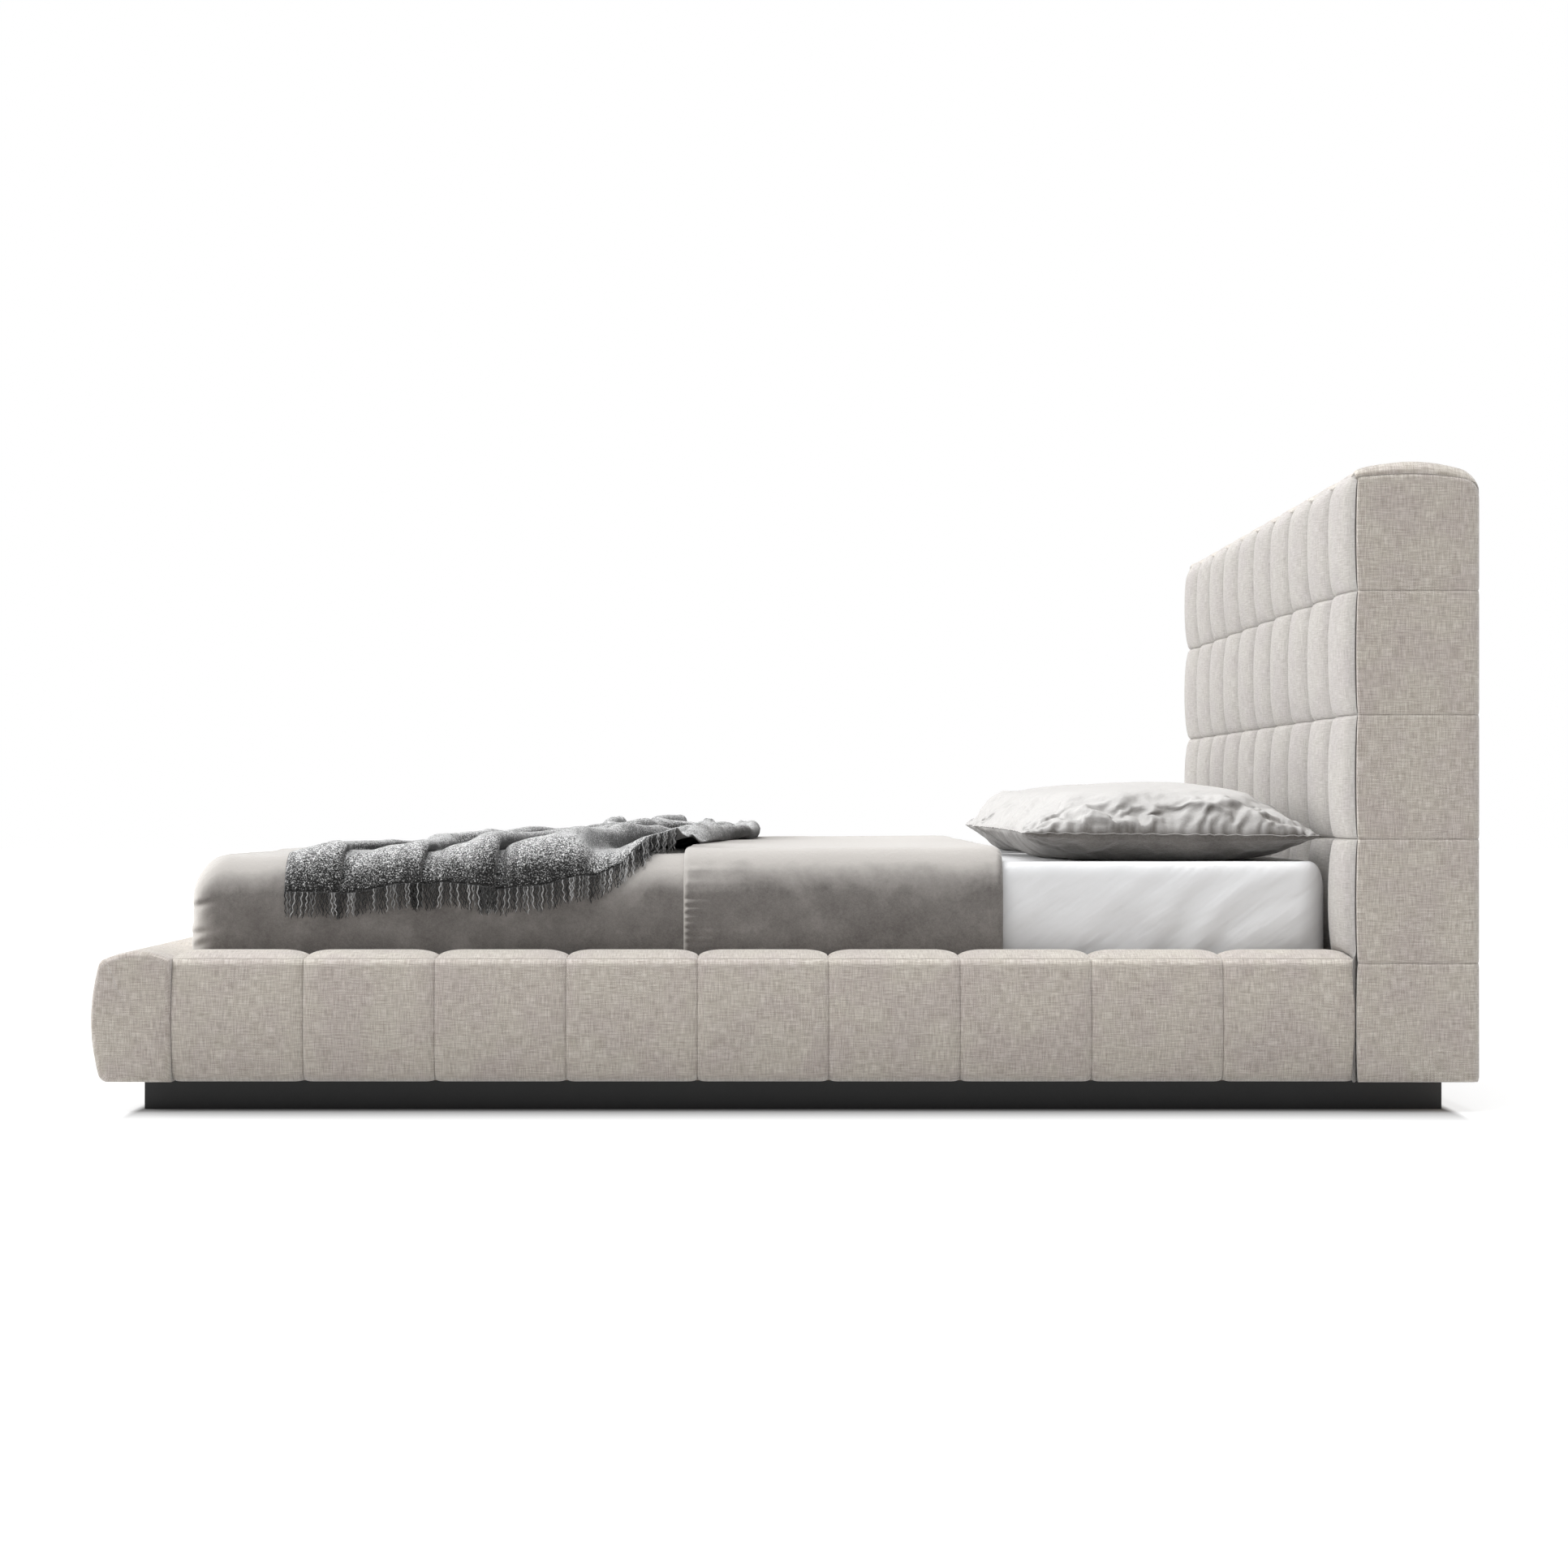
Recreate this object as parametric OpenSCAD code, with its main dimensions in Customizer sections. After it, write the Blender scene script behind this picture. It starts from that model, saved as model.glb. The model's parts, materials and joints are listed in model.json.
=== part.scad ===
// Low platform bed: padded block headboard, black recessed plinth, slatted base and its bedding.
// The head is at +X and the foot at -X. The sleeper's left is -Y.
// The origin is on the floor, under the centre.

/* [Mattress] */
// Length of the mattress
mattress_l = 2007; // [1900:1:2100]
// Width of the mattress, side to side
mattress_w = 1930; // [1820:1:2000]
// Thickness of the mattress
mattress_t = 255; // [220:1:280]

/* [Bed frame] */
// Height of the recessed plinth
plinth_h = 52.5; // [50:0.5:60]
// Height of a rail's padded face, from the plinth to the seam along its top edge
rail_h = 213.5; // [205:0.5:225]
// Height of the whole headboard above the floor
head_h = 1137; // [1000:1:1300]
// Depth of the headboard behind its front seams
head_d = 217.5; // [200:0.5:240]

/* [Padded blocks] */
// Blocks along each side rail
rail_blocks = 9; // [7:1:10]
// Columns of blocks across the headboard
columns = 10; // [8:1:12]
// How far a headboard block stands out from its seams
head_bulge = 26; // [20:1:26]

/* [Slatted base] */
// Slats on each side of the centre beam
slat_count = 16; // [12:1:17]
// Width of one slat
slat_w = 63; // [50:1:68]

/* [Hidden] */
$fn = 48;
EPS = 0.1;

// Widths of the rails and the room left round the mattress
side_rail_t = 137;
side_bulge = 12;
foot_rail_t = 139.5;
foot_bulge = 16;
side_gap = 38;
foot_gap = 19;
head_gap = 28;
rail_crown = 14;

// The bed's outline and the well that the mattress lies in
well_l = foot_gap + mattress_l + head_gap;
well_half = mattress_w / 2 + side_gap;
bed_l = foot_rail_t + well_l + head_d;
half_w = well_half + side_rail_t;
x_foot = -bed_l / 2;
x_well = x_foot + foot_rail_t;
x_head = x_well + well_l;
x_back = bed_l / 2;
z_frame = plinth_h;
z_rail_seam = z_frame + rail_h;
rail_pitch = well_l / rail_blocks;
column_pitch = 2 * half_w / columns;

// Timber inside each rail: two boards, spacers between them and a board on top
lining = 8;
board_t = 18;
spacer_t = 43;
spacer_w = 60;
top_board_t = 12;
u_spacer = lining + board_t;
u_outer_board = u_spacer + spacer_t;
u_timber = u_outer_board + board_t;
z_top_board = z_rail_seam - 48;
z_timber = z_top_board + top_board_t;
foot_end_pad = 40;
foot_seam_half = column_pitch * (columns - 3) / 2;

// Plinth boards
plinth_board_t = 25;
plinth_side_inset = 75;
plinth_foot_inset = 80.5;
plinth_head_inset = 53.5;
plinth_half = half_w - plinth_side_inset;
plinth_x0 = x_foot + plinth_foot_inset;
plinth_x1 = x_back - plinth_head_inset;
corner_block = 40;

// Headboard: a torsion box with pads round it
head_slab = 24;
side_pad_t = 35;
back_panel_t = 15.5;
x_front_board = x_head + head_slab;
x_ribs = x_front_board + board_t;
x_back_panel = x_back - back_panel_t;
head_box_half = half_w - side_pad_t;
z_head_box = head_h - 52;
z_top_seam = head_h - 32;
row_bottom = rail_h - 7;
row_top = 204;
row_middle = (z_top_seam + 5 - z_frame - row_bottom - row_top) / 3;
row_seams = [for (i = [0:3]) z_frame + row_bottom + i * row_middle];
head_groove = head_bulge - 2;
z_pressed = z_frame + 112;
x_pressed = x_head - 12;
side_groove = 3;
back_edge_r = 16;

// Slatted base
z_mattress = 175;
slat_top = z_mattress - 0.3;
slat_t = 12;
tenon_t = 7;
tenon_l = 18;
cap_l = 34;
cap_w = slat_w + 10;
cap_base = 16.7;
z_ledger = slat_top - cap_base;
tenon_z = z_ledger + 6;
tenon_play = 0.3;
ledger_w = 30;
ledger_h = 40;
ledger_end_gap = 65;
x_well_end = x_pressed;
well_mid = (x_well + x_well_end) / 2;
slat_pitch = (x_well_end - x_well - 2 * ledger_end_gap - cap_w) / (slat_count - 1);
slat_x = [for (i = [0:slat_count - 1]) well_mid + (i - (slat_count - 1) / 2) * slat_pitch];
ledger_screw_x = [for (i = [0:7]) well_mid + (i - 3.5) * 260];

// Centre beam, its legs and their levelling feet
beam_w = 50;
beam_h = 50;
beam_wall = 3;
hanger_t = 4;
z_beam = z_ledger - beam_h;
leg_x = [well_mid - 655, well_mid, well_mid + 655];
leg_r = 18;
leg_clear = 25;
flange_t = 5;
flange = [80, 60];
stem_r = 5;
stem_bore_r = 5.3;
stem_top = 78;
bore_top = 95;
foot_r = 22;
foot_disc = 8;

// Corner brackets and bolts
bracket_t = 4;
bracket_w = 60;
bracket_z = [62, 152];
bolt_r = 4;
bolt_hole_r = 4.3;
bolt_head_r = 7.5;
bolt_head_t = 5.5;
bolt_z = [82, 132];
side_bolt_l = 45;
foot_bolt_l = 32;
head_bolt_l = 58;
hanger_bolt_y = 37;
hanger_bolt_z = 130;
screw_r = 2.5;
screw_hole_r = 2.7;
screw_head_r = 5;

// Bedding
cover_t = 4;
base_foam_t = 30;
top_foam_t = 52;
sheet_t = 1.5;
soft_gap = 0.3;
mattress_r = 60;
x_mattress = x_well + foot_gap;
x_mattress_end = x_mattress + mattress_l;
mattress_half = mattress_w / 2;
z_mattress_top = z_mattress + mattress_t;
z_sheet_top = z_mattress_top + sheet_t;
duvet_foot_t = 10;
duvet_side_t = 18;
duvet_top_t = 13;
z_duvet_top = z_sheet_top + soft_gap + duvet_top_t;
duvet_half = mattress_half + sheet_t + soft_gap + duvet_side_t;
x_duvet = x_mattress - sheet_t - soft_gap - duvet_foot_t;
x_duvet_end = x_head - 600;
x_fold = x_head - 1169;
fold_t = 11;
fold_side_t = 7;
duvet_hem_z = 205;
throw_t = 38;
throw_drop_t = 20;
throw_near_x = [x_duvet + 150, x_duvet + 853];
throw_far_x = [x_duvet + 628, x_duvet + 1008];
throw_hem_z = 336;
pillow_x = [x_head - 596, x_head - 32];
pillow_left_y = [20 - mattress_half, -35];
pillow_right_y = [-25, mattress_half - 85];
pillow_h = 139;
pillow_seam = 58;

// ---------- Helpers ----------

// A box given by its lowest and highest corners
module span_box(low, high) {
    translate(low) cube(high - low);
}

// Draws its children, modelled on the right, on the left side instead
module on_left() {
    mirror([0, 1, 0]) children();
}

function arc(cx, cy, r, from, to, steps) =
    [for (i = [0:steps]) let (a = from + (to - from) * i / steps) [cx + r * cos(a), cy + r * sin(a)]];

// Outline of a rectangle with its own radius at the foot corners and at the head corners
function rounded_plan(x0, x1, half, foot_r, head_r) = concat(
    arc(x0 + foot_r, -half + foot_r, foot_r, 180, 270, 8),
    arc(x1 - head_r, -half + head_r, head_r, 270, 360, 8),
    arc(x1 - head_r, half - head_r, head_r, 0, 90, 8),
    arc(x0 + foot_r, half - foot_r, foot_r, 90, 180, 8)
);

// A V-shaped groove cut down to a depth below the surface, running along Z
module v_groove(depth, length) {
    linear_extrude(length) rotate(45) square(depth * sqrt(2), center = true);
}

// ---------- Rails ----------

// Section of a padded rail: u runs outwards from the inner face, the second value is the height
function rail_section(thick, bulge) = let (seam = thick - bulge, steps = 10) concat(
    [[0, z_frame], [seam - 10, z_frame], [seam - 3, z_frame + 3]],
    [for (i = [0:steps]) let (t = i / steps)
        [seam + bulge * sin(180 * t), z_frame + 10 + (rail_h - 10) * t]],
    [for (i = [1:steps]) let (t = i / steps)
        [seam * (1 - t), z_rail_seam + rail_crown * sin(180 * t)]]
);

// Places a part that is described by (u, height) in the section and by X along a side rail
module along_side(x0, x1) {
    translate([x0, well_half, 0]) rotate([90, 0, 90]) linear_extrude(x1 - x0) children();
}

module rail_timber_box(x0, x1, u0, u1, z0, z1) {
    span_box([x0, well_half + u0, z0], [x1, well_half + u1, z1]);
}

module side_pad_grooves() {
    for (i = [1:rail_blocks - 1]) {
        x = x_well + i * rail_pitch;
        translate([x, half_w, 0]) v_groove(side_bulge + 1, 400);
        translate([x, half_w + EPS, z_rail_seam + rail_crown]) rotate([90, 0, 0])
            v_groove(rail_crown + 1, side_rail_t + 1);
    }
}

module side_rail_pad() {
    color([0.78, 0.76, 0.72]) difference() {
        along_side(x_well, x_head) polygon(rail_section(side_rail_t, side_bulge));
        rail_timber_box(x_well - EPS, x_head + EPS, lining, u_timber, z_frame - EPS, z_timber);
        side_pad_grooves();
        frame_bolt_shanks(bolt_hole_r);
        ledger_screw_shanks(screw_hole_r);
    }
}

module side_rail_inner_board() {
    color([0.80, 0.68, 0.50]) difference() {
        rail_timber_box(x_well, x_head, lining, u_spacer, z_frame, z_top_board);
        frame_bolt_shanks(bolt_hole_r);
        ledger_screw_shanks(screw_hole_r);
    }
}

module side_rail_outer_board() {
    color([0.80, 0.68, 0.50])
        rail_timber_box(x_well, x_head, u_outer_board, u_timber, z_frame, z_top_board);
}

module side_rail_top_board() {
    color([0.80, 0.68, 0.50])
        rail_timber_box(x_well, x_head, lining, u_timber, z_top_board, z_timber);
}

// One spacer behind each seam, so that the cover can be pulled tight and stapled there
module side_rail_spacers() {
    color([0.86, 0.74, 0.56]) difference() {
        for (i = [0:rail_blocks]) {
            middle = x_well + i * rail_pitch;
            x = min(max(middle - spacer_w / 2, x_well), x_head - spacer_w);
            rail_timber_box(x, x + spacer_w, u_spacer, u_outer_board, z_frame, z_top_board);
        }
        frame_bolt_shanks(bolt_hole_r);
    }
}

// The foot rail runs the full width, and its padded ends show beside the side rails
module foot_timber_box(half, u0, u1, z0, z1) {
    span_box([x_well - u1, -half, z0], [x_well - u0, half, z1]);
}

module foot_pad_grooves() {
    for (i = [0:columns - 3]) {
        y = -foot_seam_half + i * column_pitch;
        translate([x_foot, y, 0]) v_groove(foot_bulge + 1, 400);
        translate([x_foot - EPS, y, z_rail_seam + rail_crown]) rotate([90, 0, 90])
            v_groove(rail_crown + 1, foot_rail_t + 1);
    }
}

module foot_rail_pad() {
    color([0.78, 0.76, 0.72]) difference() {
        translate([x_well, half_w, 0]) rotate([90, 0, 0]) linear_extrude(2 * half_w)
            mirror([1, 0]) polygon(rail_section(foot_rail_t, foot_bulge));
        foot_timber_box(half_w - foot_end_pad, lining, u_timber, z_frame - EPS, z_timber);
        foot_pad_grooves();
        frame_bolt_shanks(bolt_hole_r);
        on_left() frame_bolt_shanks(bolt_hole_r);
    }
}

module foot_rail_inner_board() {
    color([0.80, 0.68, 0.50]) difference() {
        foot_timber_box(half_w - foot_end_pad, lining, u_spacer, z_frame, z_top_board);
        frame_bolt_shanks(bolt_hole_r);
        on_left() frame_bolt_shanks(bolt_hole_r);
    }
}

module foot_rail_outer_board() {
    color([0.80, 0.68, 0.50])
        foot_timber_box(half_w - foot_end_pad, u_outer_board, u_timber, z_frame, z_top_board);
}

module foot_rail_top_board() {
    color([0.80, 0.68, 0.50])
        foot_timber_box(half_w - foot_end_pad, lining, u_timber, z_top_board, z_timber);
}

module foot_rail_spacers() {
    end = half_w - foot_end_pad - spacer_w;
    seams = [for (i = [0:columns - 3]) -foot_seam_half + i * column_pitch - spacer_w / 2];
    color([0.86, 0.74, 0.56]) difference() {
        for (y = concat([-end - spacer_w], seams, [end]))
            span_box([x_well - u_outer_board, y, z_frame],
                [x_well - u_spacer, y + spacer_w, z_top_board]);
        frame_bolt_shanks(bolt_hole_r);
        on_left() frame_bolt_shanks(bolt_hole_r);
    }
}

// ---------- Plinth ----------

module plinth_side() {
    color([0.10, 0.10, 0.10])
        span_box([plinth_x0, plinth_half - plinth_board_t, 0], [plinth_x1, plinth_half, plinth_h]);
}

module plinth_cross(x) {
    half = plinth_half - plinth_board_t;
    color([0.10, 0.10, 0.10]) span_box([x, -half, 0], [x + plinth_board_t, half, plinth_h]);
}

module plinth_corner_blocks() {
    inner = plinth_half - plinth_board_t;
    x_low = plinth_x0 + plinth_board_t;
    x_high = plinth_x1 - plinth_board_t - corner_block;
    color([0.86, 0.74, 0.56])
        for (x = [x_low, x_high], y = [-inner, inner - corner_block])
            span_box([x, y, 0.5], [x + corner_block, y + corner_block, plinth_h]);
}

// ---------- Headboard ----------

module headboard_front_board() {
    color([0.80, 0.68, 0.50]) difference() {
        span_box([x_front_board, -head_box_half, z_frame], [x_ribs, head_box_half, z_head_box]);
        frame_bolt_shanks(bolt_hole_r);
        on_left() frame_bolt_shanks(bolt_hole_r);
    }
}

module headboard_back_panel() {
    color([0.70, 0.68, 0.64])
        span_box([x_back_panel, -head_box_half, z_frame], [x_back, head_box_half, z_head_box]);
}

module headboard_side_rib() {
    color([0.80, 0.68, 0.50])
        span_box([x_ribs, head_box_half - board_t, z_frame], [x_back_panel, head_box_half, z_head_box]);
}

module headboard_inner_ribs() {
    color([0.80, 0.68, 0.50])
        for (y = [-0.5, 0, 0.5] * head_box_half)
            span_box([x_ribs, y - board_t / 2, z_frame + board_t],
                [x_back_panel, y + board_t / 2, z_head_box - board_t]);
}

module headboard_cross_board(z) {
    half = head_box_half - board_t;
    color([0.80, 0.68, 0.50]) span_box([x_ribs, -half, z], [x_back_panel, half, z + board_t]);
}

module head_pad_grooves() {
    for (i = [1:columns - 1])
        translate([x_head - head_bulge, -half_w + i * column_pitch, 0]) v_groove(head_groove, head_h);
    for (z = row_seams)
        translate([x_head - head_bulge, half_w + 1, z]) rotate([90, 0, 0])
            v_groove(head_groove, 2 * half_w + 2);
}

// Foam and cover of the front. The lowest blocks are flat where the rails, brackets and hangers meet them.
module headboard_front_pad() {
    face = x_head - head_bulge;
    edge = head_bulge * 0.7;
    lip = z_top_seam + 3;
    color([0.84, 0.82, 0.79]) difference() {
        union() {
            span_box([x_head - EPS, -head_box_half, z_frame], [x_front_board, head_box_half, z_head_box]);
            translate([0, 0, z_frame]) linear_extrude(lip - z_frame) polygon([
                [face, -half_w + edge], [x_head, -half_w], [x_head, half_w], [face, half_w - edge]
            ]);
        }
        head_pad_grooves();
        translate([face, half_w + 1, lip]) rotate([90, 0, 0]) v_groove(edge, 2 * half_w + 2);
        span_box([face - 1, -well_half, z_frame - 1], [x_pressed, well_half, z_pressed]);
        for (side = [0, 1]) mirror([0, side, 0])
            span_box([face - 1, well_half - EPS, z_frame - 1],
                [x_head, half_w + 1, z_rail_seam + rail_crown + 2]);
        frame_bolt_shanks(bolt_hole_r);
        on_left() frame_bolt_shanks(bolt_hole_r);
    }
}

module headboard_side_pad() {
    inner = head_box_half;
    plan = concat([[x_head, inner], [x_back, inner]],
        arc(x_back - back_edge_r, half_w - back_edge_r, back_edge_r, 0, 90, 6), [[x_head, half_w]]);
    color([0.74, 0.71, 0.67]) difference() {
        translate([0, 0, z_frame]) linear_extrude(z_top_seam - z_frame) polygon(plan);
        for (z = row_seams)
            translate([x_head - 1, half_w, z]) rotate([90, 0, 90]) v_groove(side_groove, head_d + 2);
    }
}

module headboard_top_pad() {
    steps = 12;
    crown = head_h - z_top_seam;
    section = concat([[x_back, z_top_seam], [x_head, z_top_seam]],
        [for (i = [1:steps - 1]) let (t = i / steps)
            [x_head + head_d * t, z_top_seam + crown * sqrt(sin(180 * t))]]);
    color([0.84, 0.82, 0.79]) union() {
        translate([0, half_w, 0]) rotate([90, 0, 0]) linear_extrude(2 * half_w) polygon(section);
        span_box([x_head, -head_box_half, z_head_box], [x_back, head_box_half, z_top_seam + EPS]);
    }
}

// ---------- Brackets, bolts and screws ----------

// Bolt axes on the right half: into the side rail, the foot rail and the headboard, then the hangers.
// Takes one child for every bolt, or three: a side, a foot and a head bolt.
module frame_bolt_places() {
    foot_child = min(1, $children - 1);
    head_child = min(2, $children - 1);
    y_side = well_half - bracket_t;
    y_end = well_half - bracket_w / 2;
    for (z = bolt_z) {
        for (x = [x_well + bracket_w / 2, x_well_end - bracket_w / 2])
            translate([x, y_side, z]) rotate([-90, 0, 0]) children(0);
        translate([x_well + bracket_t, y_end, z]) rotate([0, -90, 0]) children(foot_child);
        translate([x_well_end - bracket_t, y_end, z]) rotate([0, 90, 0]) children(head_child);
    }
    x_hangers = [x_well + hanger_t, x_well_end - hanger_t];
    translate([x_hangers[0], hanger_bolt_y, hanger_bolt_z]) rotate([0, -90, 0]) children(foot_child);
    translate([x_hangers[1], hanger_bolt_y, hanger_bolt_z]) rotate([0, 90, 0]) children(head_child);
}

module frame_bolt_shanks(r) {
    frame_bolt_places() {
        cylinder(h = side_bolt_l, r = r);
        cylinder(h = foot_bolt_l, r = r);
        cylinder(h = head_bolt_l, r = r);
    }
}

module hex_bolt(length) {
    cylinder(h = length - 1, r = bolt_r);
    translate([0, 0, -bolt_head_t]) cylinder(h = bolt_head_t, r = bolt_head_r, $fn = 6);
}

module frame_bolts() {
    color([0.55, 0.56, 0.58])
        for (side = [0, 1]) mirror([0, side, 0]) frame_bolt_places() {
            hex_bolt(side_bolt_l);
            hex_bolt(foot_bolt_l);
            hex_bolt(head_bolt_l);
        }
}

module corner_bracket(x, direction) {
    reach = x + direction * bracket_w;
    wall = x + direction * bracket_t;
    z0 = bracket_z[0];
    z1 = bracket_z[1];
    span_box([min(x, reach), well_half - bracket_t, z0], [max(x, reach), well_half, z1]);
    span_box([min(x, wall), well_half - bracket_w, z0], [max(x, wall), well_half, z1]);
}

module corner_brackets() {
    color([0.35, 0.36, 0.38])
        for (side = [0, 1]) mirror([0, side, 0]) difference() {
            union() {
                corner_bracket(x_well, 1);
                corner_bracket(x_well_end, -1);
            }
            bracket_holes();
        }
}

// Holes through the bracket and hanger plates
module bracket_holes() {
    frame_bolt_places() translate([0, 0, -1]) cylinder(h = bracket_t + 2, r = bolt_hole_r);
}

module hanger(x, direction) {
    plate = x + direction * hanger_t;
    seat = x + direction * 40;
    half = beam_w / 2;
    span_box([min(x, plate), -half - 20, z_beam - 18],
        [max(x, plate), half + 20, z_ledger]);
    span_box([min(x, seat), -half - hanger_t, z_beam - hanger_t],
        [max(x, seat), half + hanger_t, z_beam]);
    for (side = [0, 1]) mirror([0, side, 0])
        span_box([min(x, seat), half, z_beam - hanger_t], [max(x, seat), half + hanger_t, z_ledger - 10]);
}

module beam_hangers() {
    color([0.35, 0.36, 0.38]) difference() {
        union() {
            hanger(x_well, 1);
            hanger(x_well_end, -1);
        }
        bracket_holes();
        on_left() bracket_holes();
    }
}

// ---------- Centre beam and legs ----------

module leg_screw_places() {
    for (x = leg_x, dx = [-30, 30], dy = [-18, 18]) translate([x + dx, dy, 0]) children();
}

module centre_beam() {
    x0 = x_well + hanger_t;
    x1 = x_well_end - hanger_t;
    half = beam_w / 2;
    color([0.16, 0.16, 0.17]) difference() {
        span_box([x0, -half, z_beam], [x1, half, z_ledger]);
        span_box([x0 - 1, -half + beam_wall, z_beam + beam_wall],
            [x1 + 1, half - beam_wall, z_ledger - beam_wall]);
        translate([0, 0, z_beam - 1]) leg_screw_places() cylinder(h = beam_wall + 2, r = screw_hole_r);
    }
}

module centre_leg(x) {
    color([0.16, 0.16, 0.17]) difference() {
        union() {
            translate([x - flange[0] / 2, -flange[1] / 2, z_beam - flange_t])
                cube([flange[0], flange[1], flange_t]);
            translate([x, 0, leg_clear]) cylinder(h = z_beam - flange_t - leg_clear + EPS, r = leg_r);
        }
        translate([x, 0, leg_clear - 1]) cylinder(h = bore_top - leg_clear + 1, r = stem_bore_r);
        translate([0, 0, z_beam - flange_t - 1]) leg_screw_places()
            cylinder(h = flange_t + 2, r = screw_hole_r);
    }
}

module leg_screws() {
    color([0.60, 0.61, 0.63]) leg_screw_places() {
        translate([0, 0, z_beam - flange_t - 3]) cylinder(h = 3, r = screw_head_r);
        translate([0, 0, z_beam - flange_t - EPS]) cylinder(h = flange_t + 10, r = screw_r);
    }
}

module levelling_foot(x) {
    color([0.12, 0.12, 0.12]) translate([x, 0, 0]) {
        cylinder(h = foot_disc, r = foot_r);
        translate([0, 0, foot_disc - EPS]) cylinder(h = stem_top - foot_disc + EPS, r = stem_r);
    }
}

// ---------- Slats ----------

// The shanks start at the ledger's inner face, or a little before it for a hole
module ledger_screw_shanks(r, before = 0) {
    for (x = ledger_screw_x)
        translate([x, well_half - ledger_w - before, z_ledger - ledger_h / 2]) rotate([-90, 0, 0])
            cylinder(h = ledger_w + u_spacer - 2 + before, r = r);
}

module slat_ledger() {
    color([0.86, 0.74, 0.56]) difference() {
        span_box([x_well + ledger_end_gap, well_half - ledger_w, z_ledger - ledger_h],
            [x_well_end - ledger_end_gap, well_half, z_ledger]);
        ledger_screw_shanks(screw_hole_r, 1);
    }
}

module ledger_screws() {
    color([0.60, 0.61, 0.63])
        for (side = [0, 1]) mirror([0, side, 0]) union() {
            ledger_screw_shanks(screw_r);
            for (x = ledger_screw_x)
                translate([x, well_half - ledger_w - 3, z_ledger - ledger_h / 2]) rotate([-90, 0, 0])
                    cylinder(h = 3, r = screw_head_r);
        }
}

module slat_row() {
    inner = cap_l / 2 + 7;
    outer = well_half - cap_l;
    color([0.88, 0.77, 0.58])
        for (x = slat_x) union() {
            span_box([x - slat_w / 2, inner, slat_top - slat_t], [x + slat_w / 2, outer, slat_top]);
            span_box([x - slat_w / 2, inner - tenon_l, tenon_z],
                [x + slat_w / 2, outer + tenon_l, tenon_z + tenon_t]);
        }
}

// Pockets for the slats' thinner ends, with a little play all round
module tenon_pockets() {
    inner = cap_l / 2 + 7;
    outer = well_half - cap_l;
    for (x = slat_x)
        span_box([x - slat_w / 2 - tenon_play, inner - tenon_l - tenon_play, tenon_z - tenon_play],
            [x + slat_w / 2 + tenon_play, outer + tenon_l + tenon_play, tenon_z + tenon_t + tenon_play]);
}

module slat_end_caps() {
    color([0.15, 0.15, 0.16])
        for (side = [0, 1]) mirror([0, side, 0]) difference() {
            for (x = slat_x)
                span_box([x - cap_w / 2, well_half - cap_l, z_ledger],
                    [x + cap_w / 2, well_half, slat_top]);
            tenon_pockets();
        }
}

module slat_centre_caps() {
    half = cap_l / 2 + 7;
    color([0.15, 0.15, 0.16]) difference() {
        for (x = slat_x)
            span_box([x - cap_w / 2, -half, z_ledger], [x + cap_w / 2, half, slat_top]);
        tenon_pockets();
        on_left() tenon_pockets();
    }
}

// ---------- Bedding ----------

module mattress_slab(inset, z0, z1) {
    translate([0, 0, z0]) linear_extrude(z1 - z0) polygon(rounded_plan(
        x_mattress + inset, x_mattress_end - inset, mattress_half - inset,
        mattress_r - inset, mattress_r - inset));
}

module mattress_base_foam() {
    z0 = z_mattress + cover_t;
    color([0.93, 0.90, 0.78]) mattress_slab(cover_t, z0, z0 + base_foam_t);
}

module mattress_spring_unit() {
    color([0.70, 0.72, 0.75]) mattress_slab(cover_t, z_mattress + cover_t + base_foam_t,
        z_mattress_top - cover_t - top_foam_t);
}

module mattress_top_foam() {
    z1 = z_mattress_top - cover_t;
    color([0.96, 0.94, 0.86]) mattress_slab(cover_t, z1 - top_foam_t, z1);
}

module mattress_cover() {
    color([0.95, 0.95, 0.94]) difference() {
        mattress_slab(0, z_mattress, z_mattress_top);
        mattress_slab(cover_t, z_mattress + cover_t, z_mattress_top - cover_t);
    }
}

module fitted_sheet() {
    color([0.97, 0.97, 0.97]) difference() {
        mattress_slab(-sheet_t, z_mattress + 1, z_sheet_top);
        mattress_slab(0, z_mattress, z_mattress_top);
    }
}

// One layer of the duvet: a top and three hanging sides, closed at the foot where foot_t is above zero
module duvet_layer(x0, x1, inner_half, outer_half, z_under, z_over, foot_t) {
    difference() {
        translate([0, 0, duvet_hem_z]) linear_extrude(z_over - duvet_hem_z)
            polygon(rounded_plan(x0, x1, outer_half, mattress_r + foot_t, 2));
        translate([0, 0, duvet_hem_z - 1]) linear_extrude(z_under - duvet_hem_z + 1)
            polygon(rounded_plan(x0 + foot_t, x1 + 1, inner_half, mattress_r, 1));
    }
}

// The head end is turned back over the top, so it lies double there
module duvet() {
    color([0.62, 0.59, 0.56]) union() {
        duvet_layer(x_duvet, x_duvet_end, mattress_half + sheet_t + soft_gap, duvet_half,
            z_sheet_top + soft_gap, z_duvet_top, duvet_foot_t);
        difference() {
            span_box([x_fold, -duvet_half - fold_side_t, duvet_hem_z],
                [x_duvet_end, duvet_half + fold_side_t, z_duvet_top + fold_t]);
            span_box([x_fold - 1, -duvet_half + 1, duvet_hem_z - 1],
                [x_duvet_end + 1, duvet_half - 1, z_duvet_top - 1]);
        }
    }
}

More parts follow.
